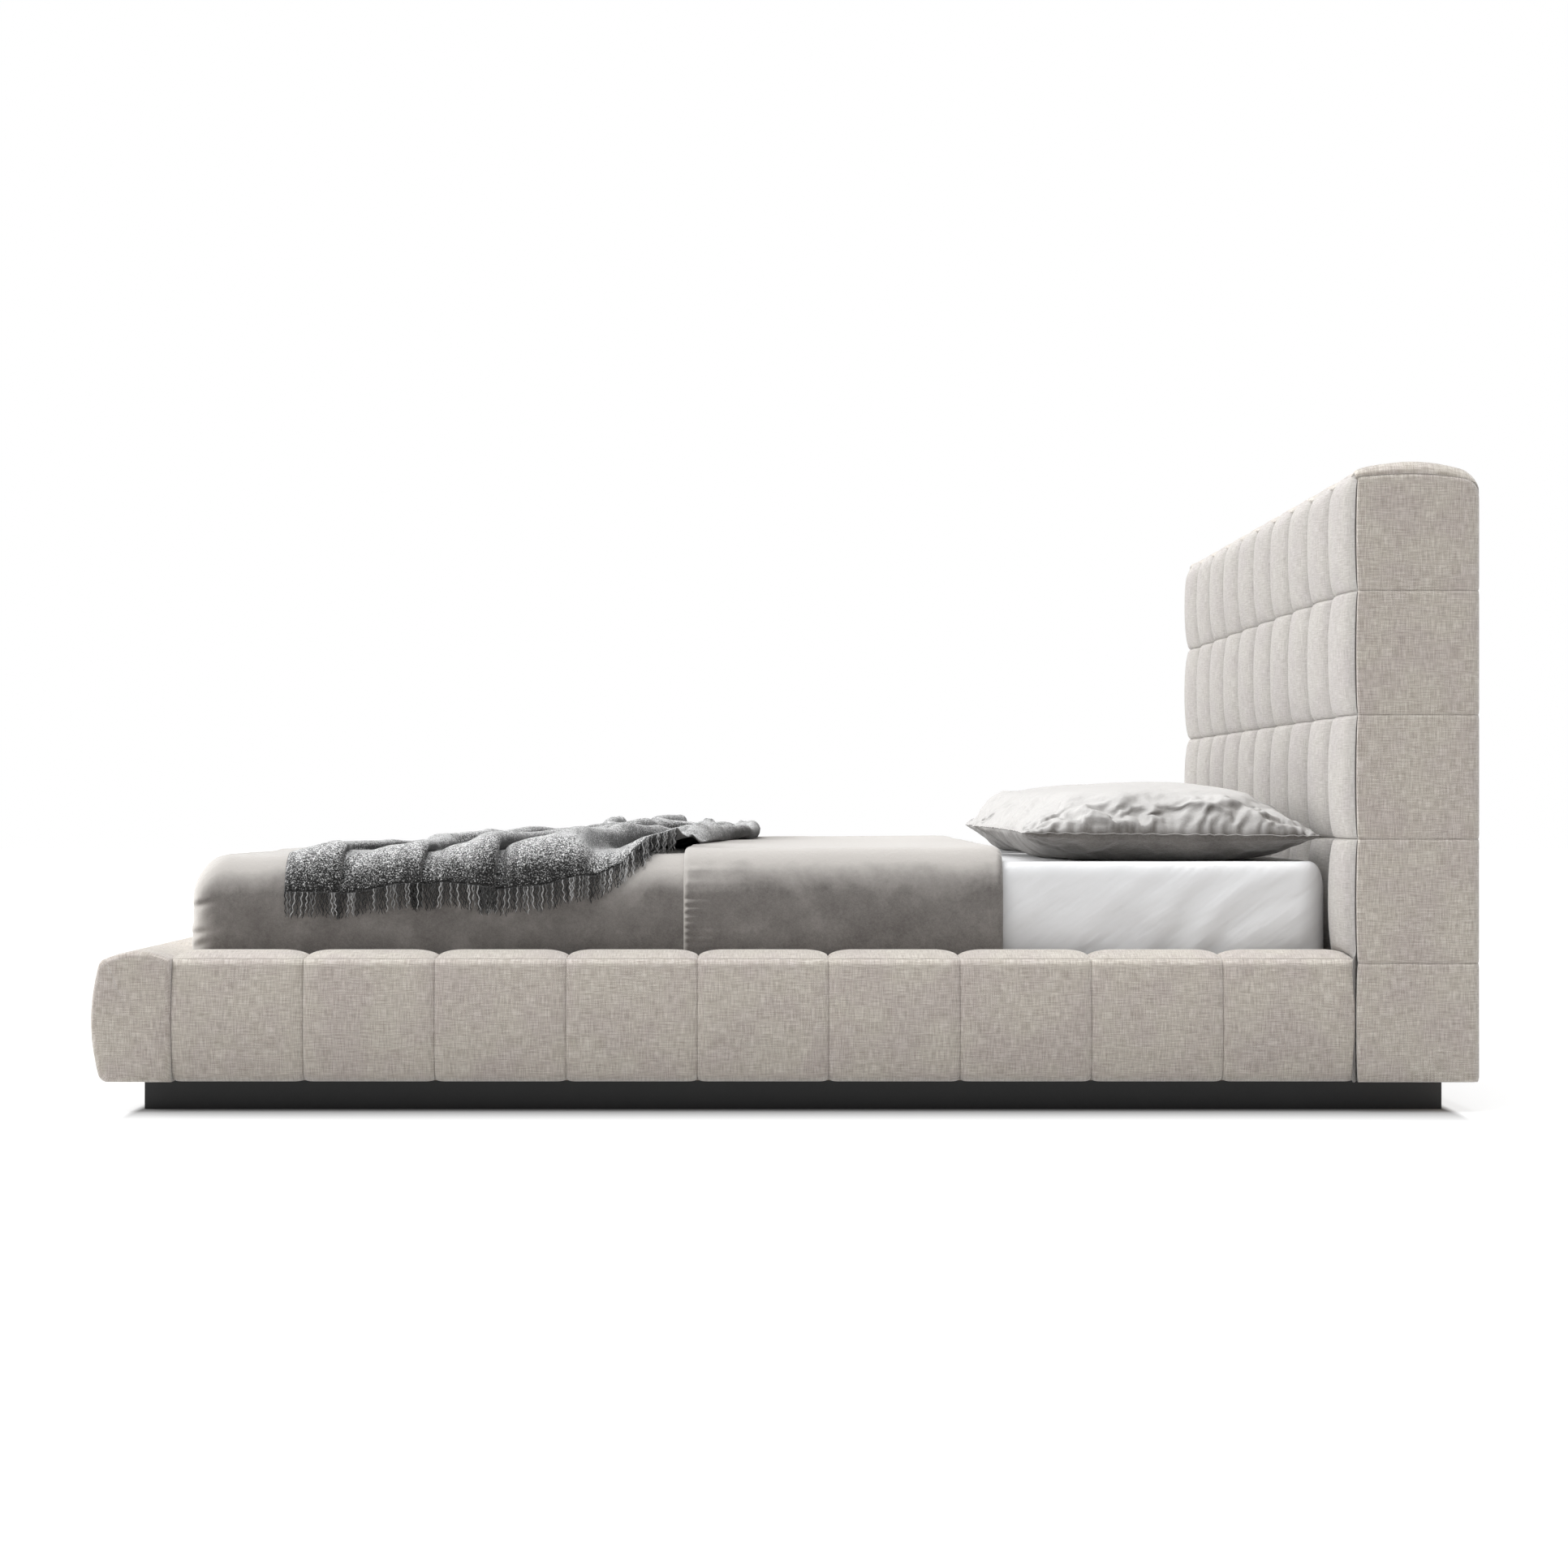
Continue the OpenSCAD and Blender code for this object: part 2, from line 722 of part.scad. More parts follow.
// A thrown blanket: it hangs over the left edge and runs across to the right one
module throw_blanket() {
    z0 = z_duvet_top + soft_gap;
    near_y = -duvet_half - soft_gap;
    outer_y = near_y - throw_drop_t;
    color([0.32, 0.32, 0.33]) difference() {
        union() {
            translate([0, 0, z0]) linear_extrude(throw_t) polygon([
                [throw_near_x[0], outer_y], [throw_near_x[1], outer_y],
                [throw_far_x[1], duvet_half - 5], [throw_far_x[0], duvet_half - 5]
            ]);
            span_box([throw_near_x[0], outer_y, throw_hem_z], [throw_near_x[1], near_y, z0 + 1]);
        }
        span_box([x_fold - 1, -half_w, z0 - 1],
            [x_duvet_end, half_w, z_duvet_top + fold_t + soft_gap]);
    }
}

// A pillow with a flat seam round its middle height and crowned panels above and below it
module pillow(y) {
    z0 = z_sheet_top + soft_gap;
    middle = [(pillow_x[0] + pillow_x[1]) / 2, (y[0] + y[1]) / 2, z0];
    size = [pillow_x[1] - pillow_x[0], y[1] - y[0]];
    // Height above the sheet, and the share of the full size there
    levels = [[0, 0.5], [14, 0.78], [pillow_seam, 1], [pillow_h - 24, 0.74], [pillow_h, 0.4]];
    color([0.70, 0.67, 0.63]) translate(middle) hull()
        for (level = levels)
            translate([0, 0, min(level[0], pillow_h - 1)]) linear_extrude(1)
                square([size[0] * level[1], size[1] * (0.35 + 0.65 * level[1])], center = true);
}

// ---------- Nodes ----------

on_left() plinth_side();  // plinth_left
plinth_side();  // plinth_right
plinth_cross(plinth_x0);  // plinth_foot
plinth_cross(plinth_x1 - plinth_board_t);  // plinth_head
plinth_corner_blocks();
on_left() side_rail_inner_board();  // left_rail_inner_board
on_left() side_rail_outer_board();  // left_rail_outer_board
on_left() side_rail_top_board();  // left_rail_top_board
on_left() side_rail_spacers();  // left_rail_spacers
on_left() side_rail_pad();  // left_rail_pad
side_rail_inner_board();  // right_rail_inner_board
side_rail_outer_board();  // right_rail_outer_board
side_rail_top_board();  // right_rail_top_board
side_rail_spacers();  // right_rail_spacers
side_rail_pad();  // right_rail_pad
foot_rail_inner_board();
foot_rail_outer_board();
foot_rail_top_board();
foot_rail_spacers();
foot_rail_pad();
headboard_front_board();
headboard_back_panel();
on_left() headboard_side_rib();  // headboard_left_rib
headboard_side_rib();  // headboard_right_rib
headboard_inner_ribs();
headboard_cross_board(z_head_box - board_t);  // headboard_top_board
headboard_cross_board(z_frame);  // headboard_bottom_board
headboard_front_pad();
on_left() headboard_side_pad();  // headboard_left_pad
headboard_side_pad();  // headboard_right_pad
headboard_top_pad();
on_left() slat_ledger();  // left_slat_ledger
slat_ledger();  // right_slat_ledger
ledger_screws();
centre_beam();
beam_hangers();
centre_leg(leg_x[0]);  // centre_leg_foot
centre_leg(leg_x[1]);  // centre_leg_middle
centre_leg(leg_x[2]);  // centre_leg_head
leg_screws();
levelling_foot(leg_x[0]);  // levelling_foot_foot
levelling_foot(leg_x[1]);  // levelling_foot_middle
levelling_foot(leg_x[2]);  // levelling_foot_head
on_left() slat_row();  // left_slats
slat_row();  // right_slats
slat_end_caps();
slat_centre_caps();
corner_brackets();
frame_bolts();
mattress_base_foam();
mattress_spring_unit();
mattress_top_foam();
mattress_cover();
fitted_sheet();
duvet();
throw_blanket();
pillow(pillow_left_y);  // pillow_left
pillow(pillow_right_y);  // pillow_right
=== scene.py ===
"""Looks of a padded block bed: upholstery, bedding, materials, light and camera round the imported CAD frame."""

import json
import math

import bmesh
import bpy
import numpy as np
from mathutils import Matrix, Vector
from mathutils.kdtree import KDTree

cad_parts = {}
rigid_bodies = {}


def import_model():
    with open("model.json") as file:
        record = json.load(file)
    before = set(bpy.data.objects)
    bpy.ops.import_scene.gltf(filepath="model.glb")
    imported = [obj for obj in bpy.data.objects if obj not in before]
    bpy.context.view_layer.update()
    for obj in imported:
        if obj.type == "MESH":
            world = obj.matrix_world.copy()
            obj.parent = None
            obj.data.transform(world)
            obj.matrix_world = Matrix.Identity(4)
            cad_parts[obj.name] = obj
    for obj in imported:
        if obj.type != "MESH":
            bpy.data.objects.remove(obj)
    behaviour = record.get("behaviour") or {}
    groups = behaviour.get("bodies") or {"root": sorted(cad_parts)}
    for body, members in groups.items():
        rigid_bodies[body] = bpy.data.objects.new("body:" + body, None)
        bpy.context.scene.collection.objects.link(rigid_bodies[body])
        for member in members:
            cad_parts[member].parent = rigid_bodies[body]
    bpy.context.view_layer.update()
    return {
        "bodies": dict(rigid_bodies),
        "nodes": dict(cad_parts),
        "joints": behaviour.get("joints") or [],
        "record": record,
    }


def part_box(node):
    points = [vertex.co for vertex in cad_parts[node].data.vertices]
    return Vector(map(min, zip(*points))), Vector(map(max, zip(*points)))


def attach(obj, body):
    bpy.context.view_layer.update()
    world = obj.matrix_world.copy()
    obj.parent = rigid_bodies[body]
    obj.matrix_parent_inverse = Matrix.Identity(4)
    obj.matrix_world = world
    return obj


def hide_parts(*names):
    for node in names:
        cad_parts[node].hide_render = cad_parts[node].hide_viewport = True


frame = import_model()
MM = 0.001
WELD = 1e-5
TAU = 2 * math.pi


# ---------- Places, all from the frame ----------

def span(node):
    """Lowest and highest corner of a CAD node, as two arrays."""
    low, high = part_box(node)
    return np.array(low), np.array(high)


RAIL_LOW, RAIL_HIGH = span("left_rail_pad")
FOOT_LOW, FOOT_HIGH = span("foot_rail_pad")
FRONT_LOW, FRONT_HIGH = span("headboard_front_pad")
SIDE_LOW, SIDE_HIGH = span("headboard_left_pad")
TOP_LOW, TOP_HIGH = span("headboard_top_pad")
BACK_LOW, BACK_HIGH = span("headboard_back_panel")
MATTRESS_LOW, MATTRESS_HIGH = span("mattress_cover")
SHEET_LOW, SHEET_HIGH = span("fitted_sheet")
DUVET_LOW, DUVET_HIGH = span("duvet")
THROW_LOW, THROW_HIGH = span("throw_blanket")

HALF = -RAIL_LOW[1]
WELL_HALF = -RAIL_HIGH[1]
X_WELL, X_HEAD = RAIL_LOW[0], RAIL_HIGH[0]
X_BACK = SIDE_HIGH[0]
Z_FRAME = RAIL_LOW[2]
CROWN = 14 * MM
Z_SEAM = RAIL_HIGH[2] - CROWN
BLOCKS = 9
COLUMNS = 10
PITCH = (X_HEAD - X_WELL) / BLOCKS
COLUMN = 2 * HALF / COLUMNS
Z_TOP_SEAM = TOP_HIGH[2] - 32 * MM
ROW_SEAMS = Z_FRAME + np.array([206.5, 422.2, 637.8, 853.5]) * MM


# ---------- Shape helpers ----------

def puff(distance, width):
    """0 at a seam, rising on a quarter circle to 1 at the given width from it."""
    d = np.clip(np.asarray(distance, float) / width, 0, 1)
    return np.sqrt(1 - (1 - d) ** 2)


def ease(value, low, high):
    """Smooth step from 0 at low to 1 at high."""
    t = np.clip((np.asarray(value, float) - low) / (high - low), 0, 1)
    return t * t * (3 - 2 * t)


def nearest(values, marks):
    """Distance from each value to the nearest mark."""
    return np.min(np.abs(np.asarray(values, float)[..., None] - np.asarray(marks, float)), axis=-1)


def stations(marks, count):
    """Stations between marks, count steps in each gap, crowded near the marks."""
    t = (1 - np.cos(np.linspace(0, math.pi, count + 1))) / 2
    parts = [a + (b - a) * t[:-1] for a, b in zip(marks[:-1], marks[1:])]
    return np.append(np.concatenate(parts), marks[-1])


def noise(points, scale, seed, octaves=3):
    """Smooth value noise, about -1 to 1, at points of two or three coordinates."""
    p = np.asarray(points, float)
    total, weight = 0, 1
    for octave in range(octaves):
        q = p / scale * 2 ** octave + 17.3 * octave
        cell = np.floor(q).astype(np.int64)
        f = q - cell
        f = f * f * (3 - 2 * f)
        value = 0
        for corner in np.ndindex(*(2,) * p.shape[-1]):
            c = cell + np.array(corner)
            h = np.full(c.shape[:-1], seed * 7919 + octave * 104729, np.int64)
            for k in range(p.shape[-1]):
                h = (h ^ (c[..., k] * (73856093, 19349663, 83492791)[k])) * 1274126177 % 2147483647
                h = h ^ (h >> 13)
            lot = (h * 16807 % 2147483647) / 2147483647 * 2 - 1
            for k, side in enumerate(corner):
                lot = lot * (f[..., k] if side else 1 - f[..., k])
            value = value + lot
        total = total + value * weight
        weight *= 0.5
    return total / 1.4


def run_length(points):
    """Running length along axis 0 of an array of points."""
    steps = np.linalg.norm(np.diff(points, axis=0), axis=-1)
    return np.concatenate([np.zeros((1,) + steps.shape[1:]), np.cumsum(steps, axis=0)])


def mesh_of(name, patches, close=True):
    """One mesh from grids of points, each with its cloth coordinates in metres; equal points are welded."""
    co, uv, quads, base = [], [], [], 0
    for points, cloth in patches:
        nu, nv = points.shape[:2]
        index = base + np.arange(nu * nv).reshape(nu, nv)
        quads.append(np.stack([index[:-1, :-1], index[1:, :-1], index[1:, 1:], index[:-1, 1:]], -1).reshape(-1, 4))
        co.append(points.reshape(-1, 3))
        uv.append(cloth.reshape(-1, 2))
        base += nu * nv
    co, uv, quads = np.concatenate(co), np.concatenate(uv), np.concatenate(quads)
    _, first, welded = np.unique(np.round(co / WELD).astype(np.int64), axis=0, return_index=True,
                                 return_inverse=True)
    welded = welded.reshape(-1)
    faces, corners = [], []
    for quad, w in zip(quads.tolist(), welded[quads].tolist()):
        keep = [k for k in range(4) if w[k] != w[k - 1]]
        if len({w[k] for k in keep}) == len(keep) >= 3:
            faces.append([w[k] for k in keep])
            corners.extend(quad[k] for k in keep)
    mesh = bpy.data.meshes.new(name)
    mesh.from_pydata(co[first], [], faces)
    layer = mesh.uv_layers.new(name="cloth")
    layer.data.foreach_set("uv", uv[corners].astype(np.float32).reshape(-1))
    bm = bmesh.new()
    bm.from_mesh(mesh)
    if close:
        rim = [e for e in bm.edges if e.is_boundary]
        if rim:
            bmesh.ops.holes_fill(bm, edges=rim, sides=0)
        bmesh.ops.recalc_face_normals(bm, faces=bm.faces)
    bm.to_mesh(mesh)
    bm.free()
    mesh.shade_smooth()
    return mesh


def piece(name, mesh, body, slot, material, *nodes, fill=None):
    """An object from a mesh that rides on a body, wears a material and stands for CAD nodes."""
    obj = bpy.data.objects.new(name, mesh)
    bpy.context.scene.collection.objects.link(obj)
    mesh.materials.clear()
    mesh.materials.append(material)
    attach(obj, body)
    if nodes:
        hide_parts(*nodes)
    return obj


# ---------- Materials ----------

class Nodes:
    """Short ways to make and link shader nodes."""

    def __init__(self, name):
        self.material = bpy.data.materials.new(name)
        self.material.use_nodes = True
        self.tree = self.material.node_tree
        self.shader = self.tree.nodes["Principled BSDF"]

    def set(self, **values):
        for key, value in values.items():
            self.shader.inputs[key.replace("_", " ")].default_value = value

    def link(self, source, target):
        self.tree.links.new(source, target)

    def add(self, kind, out=0, props=None, **inputs):
        node = self.tree.nodes.new("ShaderNode" + kind)
        for key, value in (props or {}).items():
            setattr(node, key, value)
        for key, value in inputs.items():
            socket = node.inputs[int(key[1:])] if key[0] == "i" and key[1:].isdigit() else node.inputs[key]
            if isinstance(value, bpy.types.NodeSocket):
                self.link(value, socket)
            else:
                socket.default_value = value
        return node.outputs[out]

    def math(self, operation, a, b=0.0):
        return self.add("Math", props={"operation": operation}, i0=a, i1=b)

    def cloth(self, su=1.0, sv=1.0):
        """Cloth coordinates in metres, scaled."""
        uv = self.add("UVMap", props={"uv_map": "cloth"})
        return self.add("Mapping", Vector=uv, Scale=(su, sv, 1))

    def place(self, scale=1.0):
        """Position on the object in metres, scaled."""
        where = self.add("TexCoord", out=3)
        return self.add("Mapping", Vector=where, Scale=(scale, scale, scale))

    def noise(self, vector, scale, detail=2.0, rough=0.5):
        return self.add("TexNoise", Vector=vector, Scale=scale, Detail=detail, Roughness=rough)

    def ramp(self, value, *stops):
        node = self.tree.nodes.new("ShaderNodeValToRGB")
        for k, (at, colour) in enumerate(stops):
            entry = node.color_ramp.elements[k] if k < 2 else node.color_ramp.elements.new(at)
            entry.position, entry.color = at, (*colour, 1)
        self.link(value, node.inputs[0])
        return node.outputs[0]

    def mix(self, amount, a, b, blend="MIX"):
        node = self.tree.nodes.new("ShaderNodeMix")
        node.data_type, node.blend_type = "RGBA", blend
        for key, value in ((0, amount), (6, a), (7, b)):
            if isinstance(value, bpy.types.NodeSocket):
                self.link(value, node.inputs[key])
            else:
                node.inputs[key].default_value = (*value, 1) if isinstance(value, tuple) else value
        return node.outputs[2]

    def colour(self, socket):
        self.link(socket, self.shader.inputs["Base Color"])

    def roughness(self, socket):
        self.link(socket, self.shader.inputs["Roughness"])

    def bump(self, height, strength, distance):
        normal = self.add("Bump", Height=height, Strength=strength, Distance=distance)
        self.link(normal, self.shader.inputs["Normal"])


def grey(value):
    return (value,) * 3


def weave_height(n, period):
    """Over-and-under height of a plain weave with uneven yarns."""
    wobble = n.noise(n.cloth(), 260, 1)
    parts = n.tree.nodes.new("ShaderNodeSeparateXYZ")
    n.link(n.cloth(TAU / period, TAU / period), parts.inputs[0])
    u = n.math("SINE", n.math("ADD", parts.outputs[0], n.math("MULTIPLY", wobble, 3.0)))
    v = n.math("SINE", n.math("ADD", parts.outputs[1], n.math("MULTIPLY", wobble, 3.0)))
    return n.math("MULTIPLY", u, v)


def linen(name, tones, sheen, seam_pitch=None):
    """Slubby plain weave: two tones of yarn, long slubs both ways, faint warm and cool clouds, and a painted top light
    that makes it paler where it faces up.

    With seam_pitch a painted shade darkens the cloth towards upright seams that repeat at that distance, one of them at
    0."""
    dark, mid, light = tones
    n = Nodes(name)
    across = n.noise(n.cloth(42, 520), 1, 1, 0.5)
    along = n.noise(n.cloth(520, 42), 1, 1, 0.5)
    fine = n.noise(n.cloth(), 900, 1)
    yarn = n.math("ADD", n.math("MULTIPLY", n.math("ADD", across, along), 0.41), n.math("MULTIPLY", fine, 0.18))
    clouds = n.noise(n.cloth(), 11, 3, 0.5)
    tone = n.ramp(yarn, (0.37, dark), (0.63, light), (0.50, mid))
    tinted = n.mix(n.ramp(clouds, (0.42, grey(0)), (0.60, grey(1))), tone, (0.945, 0.925, 0.955), "MULTIPLY")
    # Painted shade: darker bands along the column seams, standing in for the shadow in the valleys between columns.
    if seam_pitch:
        parts = n.tree.nodes.new("ShaderNodeSeparateXYZ")
        n.link(n.cloth(1 / seam_pitch), parts.inputs[0])
        off = n.math("ABSOLUTE", n.math("SUBTRACT", n.math("FRACT", n.math("ADD", parts.outputs[0], 100.5)), 0.5))
        shade = n.ramp(off, (0.0, grey(0.40)), (0.20, grey(1.0)), (0.06, grey(0.74)))
        tinted = n.mix(1.0, tinted, shade, "MULTIPLY")
    # Painted top light: the colour pales by up to about 30% where the surface faces up.
    upward = n.tree.nodes.new("ShaderNodeSeparateXYZ")
    n.link(n.add("NewGeometry", out=1), upward.inputs[0])
    painted_top_light = n.mix(1.0, tinted, (1.27, 1.285, 1.30), "MULTIPLY")
    n.colour(n.mix(n.ramp(upward.outputs[2], (0.22, grey(0)), (0.55, grey(1))), tinted, painted_top_light))
    weave = n.math("MULTIPLY", weave_height(n, 2.8 * MM), 0.5)
    n.bump(n.math("ADD", weave, n.math("MULTIPLY", yarn, 2.4)), 0.7, 0.0013)
    n.set(Roughness=0.92, Sheen_Weight=sheen, Sheen_Roughness=0.45, Sheen_Tint=(1, 0.99, 0.97, 1),
          Specular_IOR_Level=0.2)
    return n.material


def velvet(name, dark, light, lit, ruffle, turn, nap=1.0, sheen=0.7):
    """Short brushed pile: mottled nap with painted light, paler where it faces up or the foot, and a sheen at the
    edges.

    ruffle is how patchy the painted pale part is, turn the upward slopes between which it comes in."""
    n = Nodes(name)
    brushed = n.noise(n.place(), 14, 4, 0.62)
    pile = n.noise(n.place(), 420, 2, 0.7)
    fleck = n.noise(n.place(), 150, 2, 0.6)
    value = n.math("ADD", n.math("MULTIPLY", brushed, 0.5), n.math("ADD", n.math("MULTIPLY", pile, 0.3),
                                                                 n.math("MULTIPLY", fleck, 0.2)))
    tone = n.ramp(value, (0.38, dark), (0.64, light))
    upward = n.tree.nodes.new("ShaderNodeSeparateXYZ")
    n.link(n.add("NewGeometry", out=1), upward.inputs[0])
    patches = n.noise(n.place(), 24, 2, 0.5)
    stroked = n.math("ADD", n.math("MULTIPLY", n.math("SUBTRACT", brushed, 0.5), 0.4),
                     n.math("MULTIPLY", n.math("SUBTRACT", patches, 0.5), ruffle))
    # Painted light: the lit colour comes in where the surface faces up or towards the foot, the way the lamps fall.
    painted_foot_light = n.math("MULTIPLY", upward.outputs[0], -0.75)
    painted_light_mask = n.math("ADD", n.math("ADD", upward.outputs[2], painted_foot_light), stroked)
    low, high = turn
    n.colour(n.mix(n.ramp(painted_light_mask, (low, grey(0)), (high, grey(1)), (0.55 * low + 0.45 * high, grey(0.42))), tone, lit))
    n.bump(n.math("ADD", pile, n.math("MULTIPLY", fleck, 1.4)), 0.35 * nap, 0.0016)
    n.set(Roughness=0.95, Sheen_Weight=sheen, Sheen_Roughness=0.5, Sheen_Tint=(1, 0.985, 0.965, 1),
          Specular_IOR_Level=0.15)
    return n.material


def cotton(name, tone):
    """Smooth white percale with a faint weave and shallow creases."""
    n = Nodes(name)
    uv = n.add("UVMap", props={"uv_map": "cloth"})
    turned = n.add("Mapping", Vector=uv, Rotation=(0, 0, -0.65))
    slanted = n.add("Mapping", Vector=turned, Scale=(4.5, 20, 1))
    crease = n.noise(slanted, 1, 3, 0.5)
    # Painted shade: the colour darkens by 5% in the crease valleys of the bump.
    n.colour(n.ramp(crease, (0.35, tuple(0.95 * c for c in tone)), (0.65, tone)))
    weave = n.noise(n.place(), 1500, 1)
    n.bump(n.math("ADD", n.math("MULTIPLY", crease, 8.0), n.math("MULTIPLY", weave, 0.2)), 0.35, 0.0025)
    n.set(Roughness=0.55, Sheen_Weight=0.25, Sheen_Roughness=0.4, Specular_IOR_Level=0.35)
    return n.material


def wool(name, fringe=False):
    """Salt-and-pepper wool, with a painted top light that makes it paler where it faces up. Each fringe cord is dark or
    light along its whole length.
    """
    n = Nodes(name)
    if fringe:
        value = n.noise(n.cloth(1, 0), 900, 0)
        n.colour(n.ramp(value, (0.42, grey(0.014)), (0.62, grey(0.42)), (0.50, grey(0.04))))
        n.set(Roughness=0.95, Sheen_Weight=0.3, Sheen_Roughness=0.5, Specular_IOR_Level=0.15)
        return n.material
    fleck = n.noise(n.place(), 430, 1.5, 0.75)
    strand = n.noise(n.cloth(120, 380), 1, 2, 0.7)
    value = n.math("ADD", n.math("MULTIPLY", fleck, 0.75), n.math("MULTIPLY", strand, 0.25))
    upward = n.tree.nodes.new("ShaderNodeSeparateXYZ")
    n.link(n.add("NewGeometry", out=1), upward.inputs[0])
    tufts = n.noise(n.cloth(60, 26), 1, 2, 0.6)
    value = n.math("ADD", value, n.math("MULTIPLY", n.math("SUBTRACT", tufts, 0.5), 0.16))
    # Painted top light: the tone rises where the surface faces up.
    value = n.math("ADD", value, n.math("MULTIPLY", n.math("SUBTRACT", upward.outputs[2], 0.38), 0.135))
    n.colour(n.ramp(value, (0.43, grey(0.007)), (0.67, grey(0.90)), (0.50, grey(0.06)), (0.56, grey(0.27))))
    n.bump(value, 0.8, 0.003)
    n.set(Roughness=0.95, Sheen_Weight=0.35, Sheen_Roughness=0.5, Specular_IOR_Level=0.15)
    return n.material


def timber(name, dark, light, stretch=(1.2, 26, 26), gloss=0.62):
    """Grain that runs along X."""
    n = Nodes(name)
    grain = n.add("Mapping", Vector=n.add("TexCoord", out=3), Scale=stretch)
    rings = n.noise(grain, 3, 5, 0.6)
    pores = n.noise(grain, 22, 2)
    value = n.math("ADD", n.math("MULTIPLY", rings, 0.75), n.math("MULTIPLY", pores, 0.25))
    n.colour(n.ramp(value, (0.35, dark), (0.65, light)))
    n.bump(value, 0.2, 0.0008)
    n.set(Roughness=gloss, Specular_IOR_Level=0.3)
    return n.material


def plain(name, tone, vary, rough, metal=0.0, grain=300, bump=0.15):
    """Painted, moulded or plated surface with uneven tone and roughness."""
    n = Nodes(name)
    cloud = n.noise(n.place(), 9, 4, 0.6)
    speck = n.noise(n.place(), grain, 2)
    n.colour(n.ramp(cloud, (0.3, tuple(c * (1 - vary) for c in tone)), (0.7, tone)))
    n.roughness(n.math("ADD", n.math("MULTIPLY", speck, 0.16), rough - 0.08))
    n.bump(speck, bump, 0.0004)
    n.set(Metallic=metal)
    return n.material


def quilted(name, tone):
    """Mattress ticking stitched in diamonds."""
    n = Nodes(name)
    parts = n.tree.nodes.new("ShaderNodeSeparateXYZ")
    n.link(n.place(TAU / 0.16), parts.inputs[0])
    a = n.math("ABSOLUTE", n.math("SINE", n.math("ADD", parts.outputs[0], parts.outputs[1])))
    b = n.math("ABSOLUTE", n.math("SINE", n.math("SUBTRACT", parts.outputs[0], parts.outputs[1])))
    stitch = n.math("POWER", n.math("MINIMUM", a, b), 0.4)
    n.colour(n.mix(stitch, tuple(0.8 * c for c in tone), tone))
    n.bump(n.math("ADD", stitch, n.math("MULTIPLY", n.noise(n.place(), 700, 1), 0.1)), 0.5, 0.006)
    n.set(Roughness=0.85, Sheen_Weight=0.2)
    return n.material


LINEN_TONES = ((0.375, 0.33, 0.282), (0.505, 0.458, 0.402), (0.66, 0.615, 0.555))
# A darker, slightly cooler copy of the linen tones for the headboard's front: painted shade that offsets the strong
# light that face gets.
SHADED_COLUMN_TONES = ((0.33, 0.30, 0.27), (0.455, 0.425, 0.39), (0.60, 0.57, 0.54))
LOOKS = {
    "linen": linen("linen", LINEN_TONES, 0.8),
    "linen_columns": linen("linen_columns", SHADED_COLUMN_TONES, 0.85, 2 * HALF / COLUMNS),
    "back_cloth": linen("back_cloth", LINEN_TONES, 0.4),
    "plinth_black": plain("plinth_black", (0.034, 0.034, 0.0345), 0.1, 0.58, grain=500),
    "plywood": timber("plywood", (0.45, 0.31, 0.17), (0.66, 0.50, 0.32)),
    "softwood": timber("softwood", (0.52, 0.37, 0.20), (0.74, 0.58, 0.38)),
    "beech": timber("beech", (0.55, 0.39, 0.24), (0.72, 0.55, 0.37), (26, 1.2, 26), 0.45),
    "black_plastic": plain("black_plastic", (0.022, 0.022, 0.024), 0.2, 0.45, grain=900),
    "foot_plastic": plain("foot_plastic", (0.03, 0.03, 0.03), 0.2, 0.5, grain=900),
    "black_steel": plain("black_steel", (0.035, 0.035, 0.037), 0.2, 0.42, grain=1500),
    "zinc_steel": plain("zinc_steel", (0.62, 0.63, 0.65), 0.15, 0.35, 1.0, 1200),
    "foam": plain("foam", (0.86, 0.80, 0.60), 0.08, 0.95, grain=600, bump=0.7),
    "spring_pockets": plain("spring_pockets", (0.78, 0.79, 0.80), 0.1, 0.9, grain=250, bump=0.6),
    "mattress_ticking": quilted("mattress_ticking", (0.86, 0.86, 0.84)),
    "white_cotton": cotton("white_cotton", (0.815, 0.82, 0.83)),
    "taupe_velvet": velvet("taupe_velvet", (0.135, 0.124, 0.117), (0.235, 0.22, 0.207), (0.475, 0.45, 0.425), 0.3,
                           (0.04, 0.62)),
    "pillow_velvet": velvet("pillow_velvet", (0.10, 0.092, 0.085), (0.18, 0.168, 0.157), (0.505, 0.495, 0.485), 0.5,
                            (0.02, 0.86), 1.6, 0.4),
    "charcoal_wool": wool("charcoal_wool"),
    "wool_fringe": wool("wool_fringe", True),
}


def dress_nodes():
    """Every CAD node that still shows wears its slot's look."""
    slots = {row["node"]: row["material_slot"] for row in frame["record"]["subparts"]}
    for name, obj in frame["nodes"].items():
        obj.data.materials.clear()
        obj.data.materials.append(LOOKS[slots[name]])


# ---------- Rails ----------

